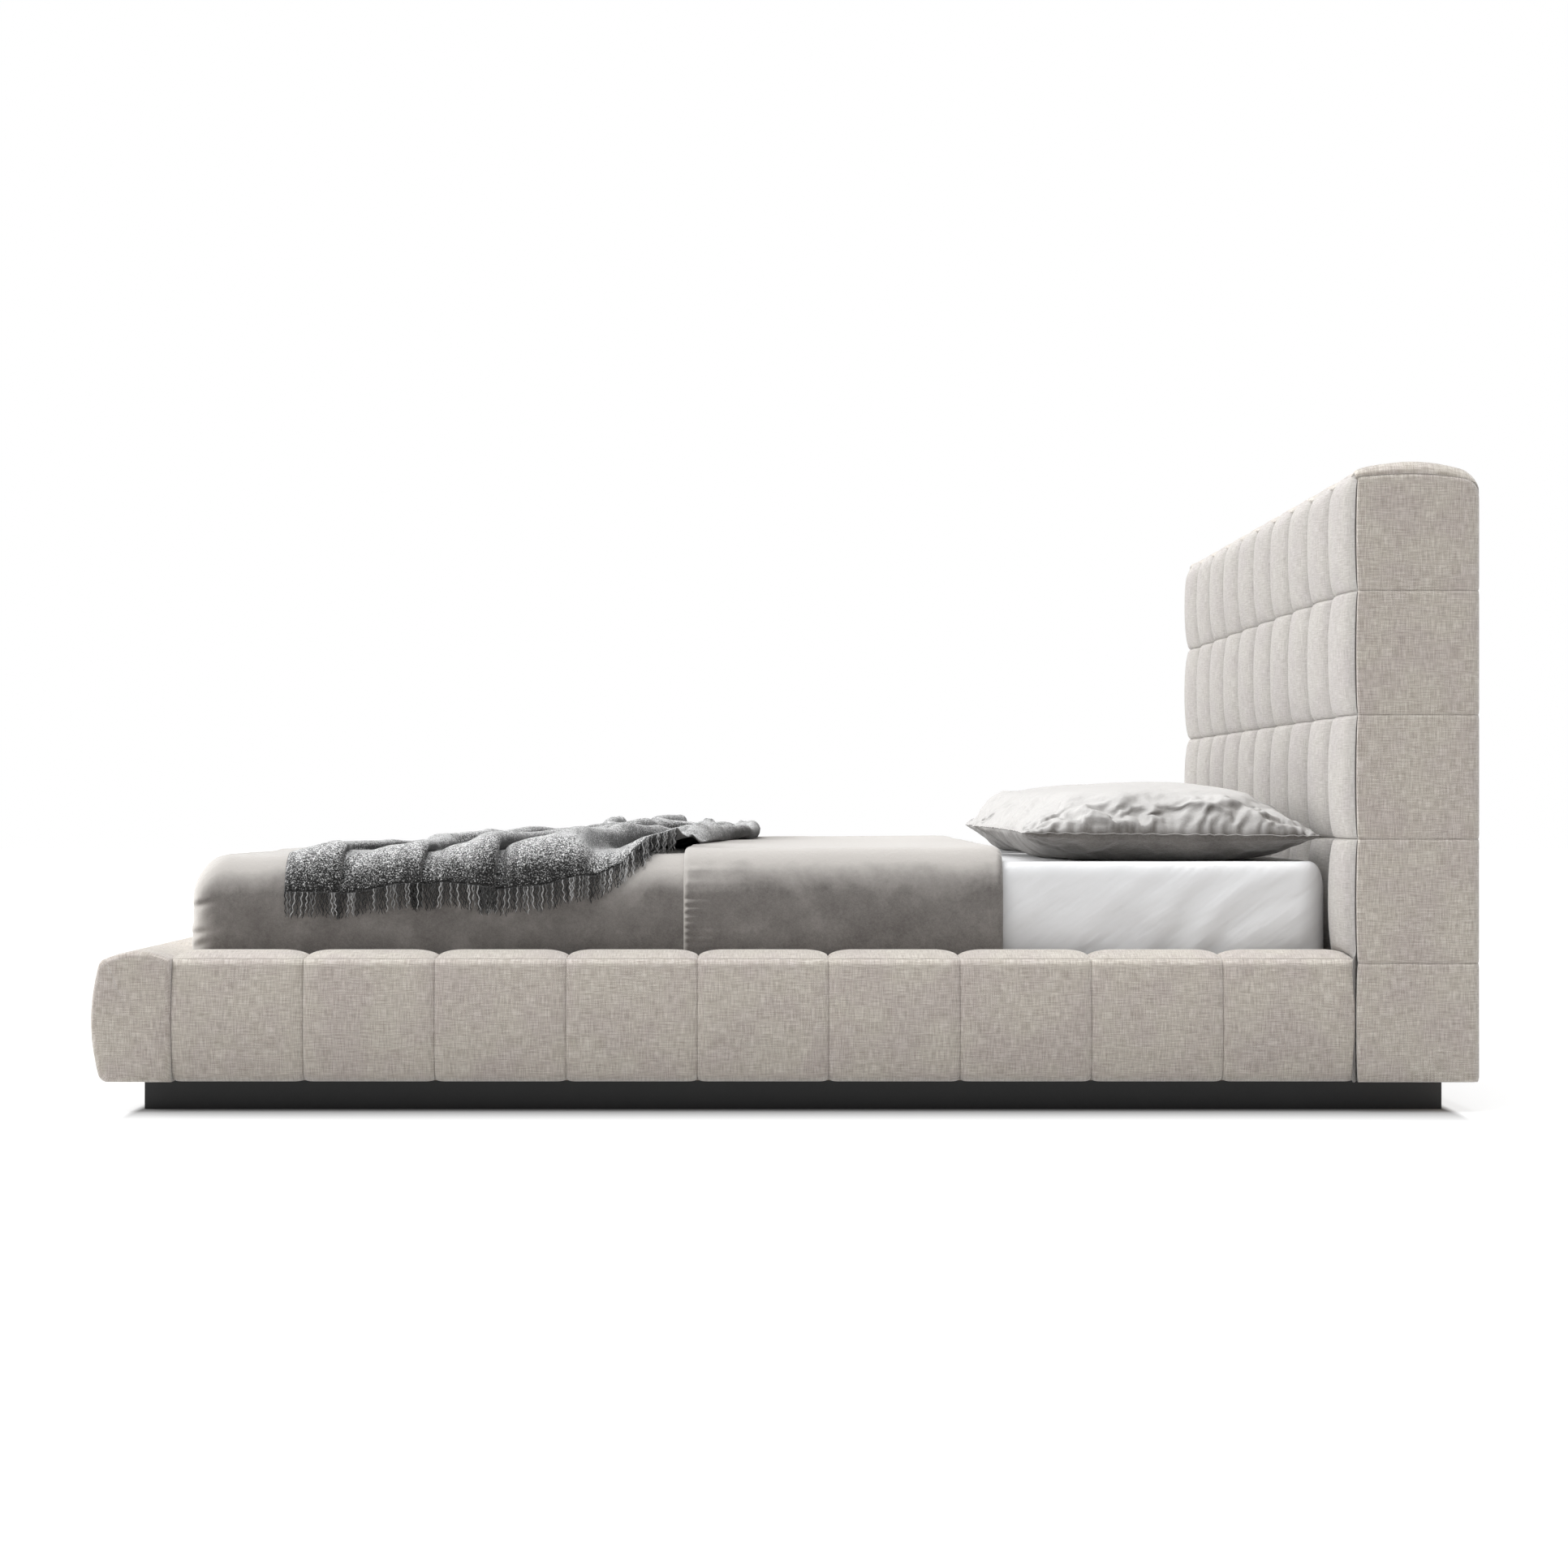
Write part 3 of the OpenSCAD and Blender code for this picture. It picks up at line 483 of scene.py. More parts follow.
def rail_section(t, seams, thick, bulge, seam_dip=6 * MM):
    """Section loop at each station t: arrays (t, loop) of distance outwards and of height."""
    seam_u = thick - bulge
    height = Z_SEAM - Z_FRAME
    d = nearest(t, seams)[:, None]
    crown = CROWN * (0.06 + 0.94 * puff(d, 44 * MM))
    pull = seam_dip * (1 - puff(d, 26 * MM)) + 1.4 * MM * (1 - puff(d, 2.2 * MM))
    lift = 5 * MM * (1 - puff(d, 14 * MM))
    inner_z = np.linspace(Z_FRAME, Z_SEAM, 9)[None, :-1]
    f = ((1 - np.cos(np.linspace(0, math.pi, 27))) / 2)[None, :]
    top_u = (seam_u - 8 * MM) * f - pull * f ** 6
    top_z = Z_SEAM + crown * np.sin(math.pi * f) ** 0.85 - 2.4 * MM * (1 - puff(d, 3 * MM)) * np.sin(math.pi * f) ** 0.3
    top_z[:, -1] -= 2.0 * MM
    top_u = top_u + 0 * d
    top_u[:, -1] -= 2.4 * MM
    g = ((1 - np.cos(np.linspace(0.05, math.pi, 44))) / 2)[None, :]
    corner = 13 * MM
    face_u = (seam_u - 8 * MM * (1 - puff(g * height, 13 * MM)) + bulge * np.sin(math.pi * g) ** 0.9
              - corner * (1 - puff((1 - g) * height, corner)) - pull)
    face_z = Z_SEAM - g * height + lift * ease(g, 0.9, 1)
    low_u = np.linspace(1, 0, 6)[None, 1:] * (seam_u - corner - pull)
    low_z = Z_FRAME + lift * ease(low_u, seam_u - 45 * MM, seam_u - 15 * MM)
    ones = np.ones_like(d)
    u = np.concatenate([0 * ones * inner_z, top_u * ones, face_u * ones, low_u * ones], axis=1)
    z = np.concatenate([ones * inner_z, top_z * ones, face_z * ones, low_z * ones], axis=1)
    return u, z


def swept(t, u, z, place):
    """Grid patch of a closed loop swept along t; place turns (t, u, z) into points."""
    points = place(t[:, None] + 0 * u, u, z)
    loop = run_length(np.moveaxis(np.stack([u, z], -1), 1, 0)).T
    mid = loop[len(loop) // 2][None, :] + 0 * loop
    return points, np.stack([t[:, None] + 0 * u, mid], -1)


def end_panel(t_end, out, u, z, place, bulge=2.5 * MM, rings=7):
    """Plain padded end: the loop shrinks to its middle."""
    mid_u, mid_z = (u.min() + u.max()) / 2, (z.min() + z.max()) / 2
    k = np.linspace(1, 0, rings)[:, None]
    pu = mid_u + (u - mid_u)[None, :] * k
    pz = mid_z + (z - mid_z)[None, :] * k
    pt = t_end + out * bulge * (1 - k ** 4) + 0 * pu
    return place(pt, pu, pz), np.stack([pu, pz], -1)


def side_rail(name, side):
    seams = X_WELL + PITCH * np.arange(BLOCKS + 1)
    t = stations(seams, 30)
    t[0] += 0.4 * MM
    t[-1] -= 0.4 * MM
    u, z = rail_section(t, seams, HALF - WELL_HALF, 12 * MM)
    points, cloth = swept(t, u, z, lambda t, u, z: np.stack([t, side * (WELL_HALF + u), z], -1))
    mesh = mesh_of(name, [(points, cloth)])
    return piece(name, mesh, "frame", "linen", LOOKS["linen"], f"{name.split('_')[0]}_rail_pad", fill=0.8)


def foot_rail():
    seams = (np.arange(8) - 3.5) * COLUMN
    ends = [-HALF, HALF]
    marks = [ends[0], (ends[0] + seams[0]) / 2, *seams, (ends[1] + seams[-1]) / 2, ends[1]]
    t = stations(marks, 26)
    round_r = 9 * MM
    thick = X_WELL - FOOT_LOW[0]
    u, z = rail_section(t, seams, thick, 16 * MM)
    inset = (round_r * (1 - puff(nearest(t, ends), round_r)))[:, None]
    mid_u, mid_z = thick / 2, (Z_FRAME + Z_SEAM) / 2
    u = mid_u + (u - mid_u) * (1 - inset / (thick / 2))
    z = mid_z + (z - mid_z) * (1 - inset / ((Z_SEAM - Z_FRAME) / 2))

    def place(t, u, z):
        return np.stack([X_WELL - u, t, z], -1)

    patches = [swept(t, u, z, place)]
    for k, out in ((0, -1), (-1, 1)):
        patches.append(end_panel(t[k], out, u[k], z[k], place))
    return piece("foot_rail_cover", mesh_of("foot_rail_cover", patches), "frame", "linen", LOOKS["linen"],
                 "foot_rail_pad", fill=0.8)


# ---------- Headboard ----------

def headboard_front():
    """Ten columns of five swollen blocks; the column seams are sewn deep, the level seams less so."""
    depth = 10 * MM
    bulge = X_HEAD + depth - FRONT_LOW[0] - 1.2 * MM
    seams_y = -HALF + COLUMN * np.arange(COLUMNS + 1)
    rows = np.array([Z_FRAME, *ROW_SEAMS, Z_TOP_SEAM])
    y = stations(seams_y, 26)[:, None]
    level = stations(rows, 26)[None, :]
    across = 1 - np.clip(nearest(y, seams_y) / (COLUMN / 2), 0, 1)
    column = (1 - across ** 2) ** 0.72
    row = puff(nearest(level, rows), 96 * MM)
    h = bulge * column * (1 - 0.44 * (1 - row)) * (0.25 + 0.75 * puff(Z_TOP_SEAM - level, 46 * MM))
    h = h - 5.0 * MM * (1 - puff(nearest(level, ROW_SEAMS), 6 * MM)) * np.minimum(column * 2, 1)
    flat = depth + 12 * MM + 40 * MM * ease(level, 165 * MM, 215 * MM)
    h = np.minimum(h, flat)
    behind_rail = ease(np.abs(y), WELL_HALF, WELL_HALF + 12 * MM) * (1 - ease(level, 262 * MM, 284 * MM))
    h = h + (depth - 1 * MM - h) * behind_rail
    d = HALF - np.abs(y)
    side_dip = depth * puff(d, 10 * MM)
    bow = 4 * MM * puff(nearest(level, rows), 108 * MM) * (1 - ease(HALF - np.abs(y), 0, 20 * MM))
    z = level + 7 * MM * np.sqrt(column) * ease(level, Z_TOP_SEAM - 150 * MM, Z_TOP_SEAM)
    x = X_HEAD + 5 * MM * (1 - puff(d, 5 * MM)) + side_dip - h - bow * (1 - behind_rail)
    py = np.sign(y) * (np.abs(y) * (HALF - 2 * MM) / HALF - 6.5 * MM * (1 - puff(d, 5 * MM)))
    points = np.stack([x, py + 0 * h, z + 0 * h], -1)
    cloth = np.stack([y + 0 * h, level + 0 * h], -1)
    back = points.copy()
    back[..., 0] = X_HEAD + 20 * MM
    middle = np.array([0, 0, (Z_FRAME + Z_TOP_SEAM) / 2])
    back[..., 1:] = middle[1:] + (back[..., 1:] - middle[1:]) * np.array([0.985, 0.975])
    mesh = mesh_of("headboard_front_cover", [(points, cloth), *rim_of(points, back, cloth)])
    return piece("headboard_front_cover", mesh, "frame", "linen", LOOKS["linen_columns"], "headboard_front_pad",
                 fill=0.9)


def rim_of(face, back, cloth):
    """Strips that join the four edges of a grid to those of the grid behind it."""
    edges = ((0, slice(None)), (-1, slice(None)), (slice(None), 0), (slice(None), -1))
    return [(np.stack([face[e], back[e]]), np.stack([cloth[e], cloth[e] + 0.02])) for e in edges]


def top_line(x):
    """Height of the seam between a side panel and the top panel."""
    t = np.clip((x - X_HEAD) / (X_BACK - X_HEAD), 0, 1)
    return Z_TOP_SEAM - 2 * MM - 5 * MM * t + 8 * MM * np.sin(math.pi * t) - 31 * MM * (1 - puff(X_BACK - x, 32 * MM))


def headboard_side(name, side):
    corner, depth = 18 * MM, SIDE_HIGH[0] - SIDE_LOW[0]
    face_y = HALF - 1 * MM
    a = np.linspace(0, math.pi / 2, 9)
    lip = 3.5 * MM
    x = np.concatenate([[X_HEAD + 16 * MM, X_HEAD + 6.5 * MM], X_HEAD + 5.5 * MM + lip * (1 - np.cos(a)),
                        np.linspace(X_HEAD + 5.5 * MM + lip, X_BACK - corner, 40)[1:],
                        (X_BACK - corner + corner * np.sin(a))[1:], [X_BACK, X_BACK]])
    y = np.concatenate([[face_y - 34 * MM, face_y - 14 * MM], face_y - lip + lip * np.sin(a),
                        np.full(39, face_y), (face_y - corner + corner * np.cos(a))[1:],
                        [face_y - corner - 8 * MM, face_y - corner - 17 * MM]])
    rows = np.array([Z_FRAME, *ROW_SEAMS, Z_TOP_SEAM])
    level = stations(rows, 16)[:, None]
    groove = 2.6 * MM * (1 - puff(nearest(level, ROW_SEAMS), 7 * MM))
    swell = 2.0 * MM * puff(nearest(level, rows), 70 * MM) - groove
    ends = 6 * MM * (1 - puff(level - Z_FRAME, 9 * MM)) + 5 * MM * (1 - puff(Z_TOP_SEAM - level, 6 * MM))
    z = level + (top_line(x)[None, :] - Z_TOP_SEAM) * ease(level, Z_TOP_SEAM - 130 * MM, Z_TOP_SEAM)
    outward = ease(y, face_y - 20 * MM, face_y - 4 * MM)[None, :]
    back = ease(x, X_BACK - 6 * MM, X_BACK)[None, :]
    bow = 4 * MM * puff(nearest(level, rows), 108 * MM) * (1 - ease(x, X_HEAD, X_HEAD + 30 * MM))[None, :]
    py = y[None, :] + (swell - ends) * outward
    px = x[None, :] - (groove + ends) * back * (1 - outward) - bow
    points = np.stack([px, side * py, z], -1)
    loop = run_length(np.stack([x, y], -1))[None, :]
    mesh = mesh_of(name, [(points, np.stack([loop + 0 * z, z], -1))])
    return piece(name, mesh, "frame", "linen", LOOKS["linen"], f"headboard_{name.split('_')[1]}_pad", fill=0.9)


def headboard_top():
    seams_y = -HALF + COLUMN * np.arange(COLUMNS + 1)
    y = stations([-HALF, -HALF + COLUMN / 2, *seams_y[1:-1], HALF - COLUMN / 2, HALF], 16)[:, None]
    y = np.unique(np.round(y, 6))[:, None]
    f = ((1 - np.cos(np.linspace(0, math.pi, 40))) / 2)[None, :]
    d = HALF - np.abs(y)
    x = X_HEAD + (X_BACK - 18 * MM * (1 - puff(d, 18 * MM)) - X_HEAD) * f
    column = puff(nearest(y, seams_y), COLUMN / 2)
    front = 1 - ease(f, 0, 0.35)
    base = top_line(x) + (1.5 + 4 * column) * MM * front
    crown = (TOP_HIGH[2] - Z_TOP_SEAM - 6 * MM) * np.sin(math.pi * f) ** 0.62
    end = 0.08 + 0.92 * puff(HALF - np.abs(y), 104 * MM)
    z = base + crown * end + 7 * MM * (1 - ease(d, 8 * MM, 60 * MM)) - 9 * MM * (1 - puff(d, 17 * MM))
    z = z - 3 * MM * (1 - puff(x - X_HEAD, 4 * MM)) - 2 * MM * (1 - puff(X_BACK - x, 4 * MM))
    points = np.stack([x + 0 * y, (HALF - 1.5 * MM) / HALF * y + 0 * x, z], -1)
    cloth = np.stack([y + 0 * x, x + 0 * y], -1)
    tuck = points.copy()
    tuck[..., 0] = X_HEAD + 5 * MM + (x - X_HEAD) * (1 - 8 * MM / (X_BACK - X_HEAD))
    tuck[..., 1] *= (HALF - 5 * MM) / HALF
    tuck[..., 2] -= 3.5 * MM
    low = points.copy()
    low[..., 2] = Z_TOP_SEAM - 52 * MM
    low[..., 0] = X_HEAD + 14 * MM + (x - X_HEAD) * (1 - 28 * MM / (X_BACK - X_HEAD))
    low[..., 1] *= (HALF - 14 * MM) / HALF
    mesh = mesh_of("headboard_top_cover", [(points, cloth), *rim_of(points, tuck, cloth), *rim_of(tuck, low, cloth)])
    return piece("headboard_top_cover", mesh, "frame", "linen", LOOKS["linen"], "headboard_top_pad", fill=0.9)


def headboard_back():
    half = HALF - 22 * MM
    y = stations([-half, -half / 2, 0, half / 2, half], 16)[:, None]
    level = stations([Z_FRAME + 1 * MM, (Z_FRAME + Z_TOP_SEAM) / 2, Z_TOP_SEAM - 35 * MM], 24)[None, :]
    edge = np.minimum(half - np.abs(y), np.minimum(level - level.min(), level.max() - level))
    x = X_BACK - 3 * MM + 4.5 * MM * puff(edge, 20 * MM)
    points = np.stack([x, y + 0 * x, level + 0 * x], -1)
    cloth = np.stack([y + 0 * x, level + 0 * x], -1)
    low = points.copy()
    low[..., 0] = BACK_LOW[0]
    mesh = mesh_of("headboard_back_cover", [(points, cloth), *rim_of(points, low, cloth)])
    return piece("headboard_back_cover", mesh, "frame", "back_cloth", LOOKS["back_cloth"], "headboard_back_panel",
                 fill=0.9)


# ---------- Mattress, sheet and duvet ----------

def outline(x0, x1, half, r0, r1, closed, step=9 * MM):
    """Plan path from the head end on the right, round the foot, to the head end on the left.

    Gives points, outward normals and running length; closed paths go on round the head end."""
    parts = []

    def straight(a, b, normal):
        n = max(2, int(np.hypot(b[0] - a[0], b[1] - a[1]) / step))
        t = np.linspace(0, 1, n, endpoint=False)[:, None]
        parts.append((np.array(a) + (np.array(b) - np.array(a)) * t, np.tile(normal, (n, 1))))

    def bend(cx, cy, r, a0):
        a = np.radians(np.linspace(a0, a0 + 90, 14, endpoint=False))
        normal = np.stack([np.cos(a), np.sin(a)], -1)
        parts.append((np.array([cx, cy]) + r * normal, normal))

    straight((x1 - r1, half), (x0 + r0, half), (0, 1))
    bend(x0 + r0, half - r0, r0, 90)
    straight((x0, half - r0), (x0, r0 - half), (-1, 0))
    bend(x0 + r0, r0 - half, r0, 180)
    straight((x0 + r0, -half), (x1 - r1, -half), (0, -1))
    if closed:
        bend(x1 - r1, r1 - half, r1, 270)
        straight((x1, r1 - half), (x1, half - r1), (1, 0))
        bend(x1 - r1, half - r1, r1, 0)
        parts.append((parts[0][0][:1], parts[0][1][:1]))
    else:
        parts.append((np.array([[x1 - r1, -half]]), np.array([[0.0, -1.0]])))
    points = np.concatenate([p for p, _ in parts])
    normals = np.concatenate([n for _, n in parts])
    return points, normals, run_length(points)


def cover_base(x0, x1, half, r0, r1, z_low, z_top, edge, closed, spine, sides=40, tops=34):
    """Points and outward normals of a cover over a box: (path, section) grids, from the hem to a spine line.

    edge is (how far in, how far down) its upper edge is rounded."""
    edge_in, edge_r = edge
    plan, normal, length = outline(x0, x1, half, r0, r1, closed)
    drop = np.linspace(0, 1, sides)
    a = np.linspace(0, math.pi / 2, 13)
    z = np.concatenate([z_low + (z_top - edge_r - z_low) * drop, (z_top - edge_r + edge_r * np.sin(a))[1:]])
    inward = np.concatenate([0 * drop, (edge_in - edge_in * np.cos(a))[1:]])
    up = np.concatenate([0 * drop, (edge_in * np.sin(a) / np.hypot(edge_in * np.sin(a), edge_r * np.cos(a)))[1:]])
    flat_n = np.sqrt(1 - up ** 2)
    side_p = np.concatenate([plan[:, None, :] - normal[:, None, :] * inward[None, :, None],
                             np.broadcast_to(z[None, :, None], (len(plan), len(z), 1))], -1)
    side_n = np.concatenate([normal[:, None, :] * flat_n[None, :, None],
                             np.broadcast_to(up[None, :, None], (len(plan), len(z), 1))], -1)
    start = side_p[:, -1, :2]
    goal = np.stack([np.clip(start[:, 0], spine[0], spine[1]), 0 * start[:, 0]], -1)
    k = (np.linspace(0, 1, tops + 1)[1:] ** 0.85)[None, :, None]
    top_xy = start[:, None, :] * (1 - k) + goal[:, None, :] * k
    top_p = np.concatenate([top_xy, np.full(top_xy.shape[:2] + (1,), z_top)], -1)
    top_n = np.zeros_like(top_p)
    top_n[..., 2] = 1
    return np.concatenate([side_p, top_p], 1), np.concatenate([side_n, top_n], 1), length


def shell(name, base, normal, thickness, detail):
    """Closed cover: an outer face at base + thickness + detail and an inner face at base, welded at the hem."""
    outer = base + normal * (thickness + detail)[..., None]
    along = run_length(base[:, 0])[:, None] + 0 * thickness
    across = run_length(np.moveaxis(base, 1, 0)).T
    cloth = np.stack([along, across], -1)
    return [(outer, cloth), (base[::-1], cloth[::-1])]


EDGE = (34 * MM, 40 * MM)


def fitted_sheet():
    low, high = SHEET_LOW, SHEET_HIGH
    x0, x1, half = low[0] + 1.5 * MM, high[0] - 1.5 * MM, high[1] - 1.5 * MM
    spine = (x0 + 0.9, x1 - 0.9)
    base, normal, _ = cover_base(x0, x1, half, 60 * MM, 45 * MM, low[2], high[2] - 1.5 * MM, EDGE, True, spine)
    x, y, z = np.moveaxis(base, -1, 0)
    soft = noise(np.stack([x * 0.8 + z * 0.9, y, z], -1), 0.16, 3, 3)
    slant = np.sin(TAU * ((x * 0.8 - z * 0.75) / 0.095 + 1.3 * noise(base, 0.35, 5, 2)))
    slant = slant * (0.25 + 0.75 * ease(x, 0.60, 0.84))
    fade = ease(z, low[2], low[2] + 0.05)
    slope = 1 - ease(z, high[2] - 45 * MM, high[2] - 5 * MM)
    crease = np.clip(noise(base, 0.3, 8, 2) + 0.55, 0, 1.2)
    detail = fade * ((4.2 * soft + 3.8 * slant * crease) * slope) * MM
    valley = np.clip(nearest(y, -HALF + COLUMN * np.arange(COLUMNS + 1)) / (COLUMN / 2), 0, 1)
    swell = 8 * MM * (1 - valley) ** 1.6 * ease(z, 0.20, 0.25) * slope * np.clip(normal[..., 0], 0, 1) ** 2
    on_top = ease(z, high[2] - 30 * MM, high[2])
    detail = np.maximum(detail, -1.2 * MM) * (1 - np.clip(normal[..., 0], 0, 1)) + 0.6 * on_top * MM * soft + swell
    squarer = (2 * normal[..., 2] * np.sqrt(1 - normal[..., 2] ** 2)) ** 2 * ease(x, DUVET_HIGH[0] - 0.02, DUVET_HIGH[0] + 0.03)
    detail = detail + 7.5 * MM * squarer
    crinkle = noise(np.stack([x * 0.7 - z * 0.7, (x + z) * 0.22, y], -1), 0.018, 9, 2)
    detail = detail + 1.1 * MM * crinkle * fade * slope * np.clip(noise(base, 0.12, 10, 1) + 0.3, 0, 1)
    thickness = 1.5 * MM * puff(z - low[2], 3 * MM)
    mesh = mesh_of("fitted_sheet_cloth", shell("fitted_sheet_cloth", base, normal, thickness, detail))
    obj = piece("fitted_sheet_cloth", mesh, "mattress", "white_cotton", LOOKS["white_cotton"], "fitted_sheet")
    return obj


def mattress():
    """Quilted mattress under the sheet, with a taped edge along the bottom and the top."""
    low, high = MATTRESS_LOW, MATTRESS_HIGH
    spine = (low[0] + 0.9, high[0] - 0.9)
    top, n_top, _ = cover_base(low[0] + 1 * MM, high[0] - 1 * MM, high[1] - 1 * MM, 60 * MM, 45 * MM,
                               (low[2] + high[2]) / 2, high[2] - 1 * MM, EDGE, True, spine, 12, 16)
    bottom = top.copy()
    bottom[..., 2] = low[2] + high[2] - bottom[..., 2]
    patches = []
    for grid in (top, bottom):
        z = grid[..., 2]
        tape = 1.6 * MM * np.exp(-((np.abs(z - (low[2] + high[2]) / 2) - 78 * MM) / (4 * MM)) ** 2)
        cloth = np.stack([run_length(grid[:, 0])[:, None] + 0 * z, z], -1)
        shrunk = grid - n_top * np.array([1, 1, 0]) * (1 * MM - tape)[..., None]
        patches.append((shrunk, cloth))
    mesh = mesh_of("mattress_body", patches)
    return piece("mattress_body", mesh, "mattress", "mattress_ticking", LOOKS["mattress_ticking"],
                 "mattress_cover", fill=0.9)


def top_foam():
    """Foam slab with rounded upper edges, so that it stays inside the sheet's soft corners."""
    low, high = span("mattress_top_foam")
    base, _, _ = cover_base(low[0], high[0], high[1], 56 * MM, 45 * MM, low[2], high[2] - 1 * MM, EDGE, True,
                            (low[0] + 0.9, high[0] - 0.9), 8, 10)
    cloth = np.stack([run_length(base[:, 0])[:, None] + 0 * base[..., 2], base[..., 2]], -1)
    return piece("top_foam_slab", mesh_of("top_foam_slab", [(base, cloth)]), "mattress", "foam", LOOKS["foam"],
                 "mattress_top_foam", fill=1.0)


# Side, distance from the foot end in mm, height, direction, half length and depth in mm of each tuck
CORNER_TUCKS = [(-1, 14, 0.352, 0.45, 0.016, 4.5), (-1, 6, 0.326, 1.15, 0.017, 5.0), (-1, 12, 0.303, 0.35, 0.014, 4.5),
                (-1, 20, 0.283, 0.75, 0.012, 3.0), (1, 12, 0.338, 0.60, 0.018, 4.5), (1, 8, 0.305, 1.00, 0.015, 4.5)]
FOLD_X = X_HEAD - 1.169
FOLD_T, FOLD_SIDE_T = 11 * MM, 7 * MM


def duvet():
    """The duvet's main layer, with the head end turned back over it as a second layer."""
    low, high = DUVET_LOW, DUVET_HIGH
    inner_half = SHEET_HIGH[1] + 1.2 * MM
    inner_top = SHEET_HIGH[2] + 0.9 * MM
    x0, x1 = low[0] + 9 * MM, high[0] - 6 * MM
    hem = low[2]
    spine = (x0 + 0.9, x1)
    base, normal, along = cover_base(x0, x1, inner_half, 54 * MM, 0, hem, inner_top, (52 * MM, 62 * MM), False, spine)
    x, y, z = np.moveaxis(base, -1, 0)
    main_half = high[1] - FOLD_SIDE_T
    side_t, top_t, foot_t = main_half - inner_half, high[2] - FOLD_T - inner_top, x0 - low[0]
    up, foot = normal[..., 2] ** 2, np.clip(-normal[..., 0], 0, 1) ** 2
    thick = side_t * (1 - up) * (1 - foot) + foot_t * foot * (1 - up) + top_t * up
    thick = thick + 13 * MM * (2 * np.abs(normal[..., 0] * normal[..., 1])) ** 2 * (1 - up)
    edge = np.minimum(z - hem, 1) + 0 * x
    thick = thick * puff(edge, 14 * MM) * puff(x1 - x + 2 * MM, 8 * MM)
    soft = 2.6 * noise(base, 0.22, 11, 3) + 0.9 * noise(base, 0.06, 12, 2)
    tucks = 0
    for side, px, pz, angle, length, depth in CORNER_TUCKS:
        a, b = x - x0 - px * MM, z - pz
        run = a * math.cos(angle) + b * math.sin(angle)
        off = b * math.cos(angle) - a * math.sin(angle)
        groove = np.exp(-(off / 0.0048) ** 2) - 0.75 * np.exp(-((off - 0.0095) / 0.0075) ** 2)
        tucks = tucks - 1.15 * depth * groove * np.exp(-(run / length) ** 2) * (side * y > 0) * (1 - up) * (1 - foot)
    drape = np.sin(TAU * (x / 0.33 + z / 0.5 + 0.8 * noise(base, 0.5, 14, 2))) * (1 - up)
    detail = (soft + tucks + 1.6 * drape) * MM * puff(edge, 30 * MM)
    detail = np.maximum(detail, -0.45 * thick)
    patches = shell("duvet", base, normal, thick, detail)
    patches += duvet_fold(inner_half + side_t + 0.3 * MM, inner_top + top_t + 0.3 * MM, hem, high)
    mesh = mesh_of("duvet_cover", patches)
    return piece("duvet_cover", mesh, "duvet", "taupe_velvet", LOOKS["taupe_velvet"], "duvet", fill=0.5)


def duvet_fold(half, top, hem, high):
    """The turned-back end: gathered along its stitched hem, rolled at the fold line."""
    x = stations([FOLD_X, FOLD_X + 0.12, high[0] - 0.10, high[0]], 34)
    edge_in, edge_r = 60 * MM, 73 * MM
    a = np.linspace(0, math.pi / 2, 15)
    side_z = np.linspace(hem, top - edge_r, 46)
    top_y = np.linspace(half - edge_in, 0, 40)
    y_half = np.concatenate([np.full(46, half), (half - edge_in + edge_in * np.cos(a))[1:], top_y[1:]])
    z_half = np.concatenate([side_z, (top - edge_r + edge_r * np.sin(a))[1:], np.full(39, top)])
    up_half = np.concatenate([np.zeros(46), (edge_in * np.sin(a) / np.hypot(edge_in * np.sin(a),
                                             edge_r * np.cos(a)))[1:], np.ones(39)])
    y = np.concatenate([-y_half, y_half[-2::-1]])
    z = np.concatenate([z_half, z_half[-2::-1]])
    up = np.concatenate([up_half, up_half[-2::-1]])
    out = np.sqrt(1 - up ** 2) * np.sign(y)
    base = np.stack([x[:, None] + 0 * y, y[None, :] + 0 * x[:, None], z[None, :] + 0 * x[:, None]], -1)
    normal = np.stack([0 * base[..., 0], out + 0 * x[:, None], up + 0 * x[:, None]], -1)
    section = run_length(np.stack([y, z], -1))[None, :] + 0 * x[:, None]
    px = base[..., 0]
    side = 1 - normal[..., 2] ** 2
    full = FOLD_SIDE_T * side + FOLD_T * (1 - side)
    start, end = px - FOLD_X, high[0] - px
    thick = full * puff(start + 0.1 * MM, 9 * MM) * puff(end, 13 * MM) * puff(base[..., 2] - hem, 12 * MM)
    wander = noise(np.stack([section, 0 * px], -1), 0.07, 21, 2)
    wave = np.sin(TAU * (section / (12.5 * MM) + 0.9 * wander))
    reach = 34 * MM + 26 * MM * noise(np.stack([section, 0 * px], -1), 0.02, 22, 2)
    gather = np.exp(-start / np.maximum(reach, 12 * MM)) * puff(start, 6 * MM)
    level = ease(base[..., 2], 0.27, 0.36)
    rolled = np.sin(TAU * (section / (17 * MM) + start / (60 * MM) + 0.8 * wander))
    crown = np.exp(-end / (22 * MM)) * puff(end, 6 * MM) * ease(base[..., 2], 0.36, 0.41)
    soft = 1.6 * noise(base, 0.2, 23, 3) + 0.5 * noise(base, 0.05, 24, 2)
    lift = 3.0 * ease(px, FOLD_X, high[0]) * (1 - side) * puff(end, 60 * MM)
    detail = (1.9 * wave * gather * (0.25 + 0.75 * level) + 1.7 * rolled * crown + soft * puff(end, 40 * MM)
              * puff(start, 40 * MM) + lift) * MM
    detail = np.maximum(detail, -0.4 * thick) * puff(base[..., 2] - hem, 20 * MM)
    return shell("fold", base, normal, thick, detail)


# ---------- Throw ----------

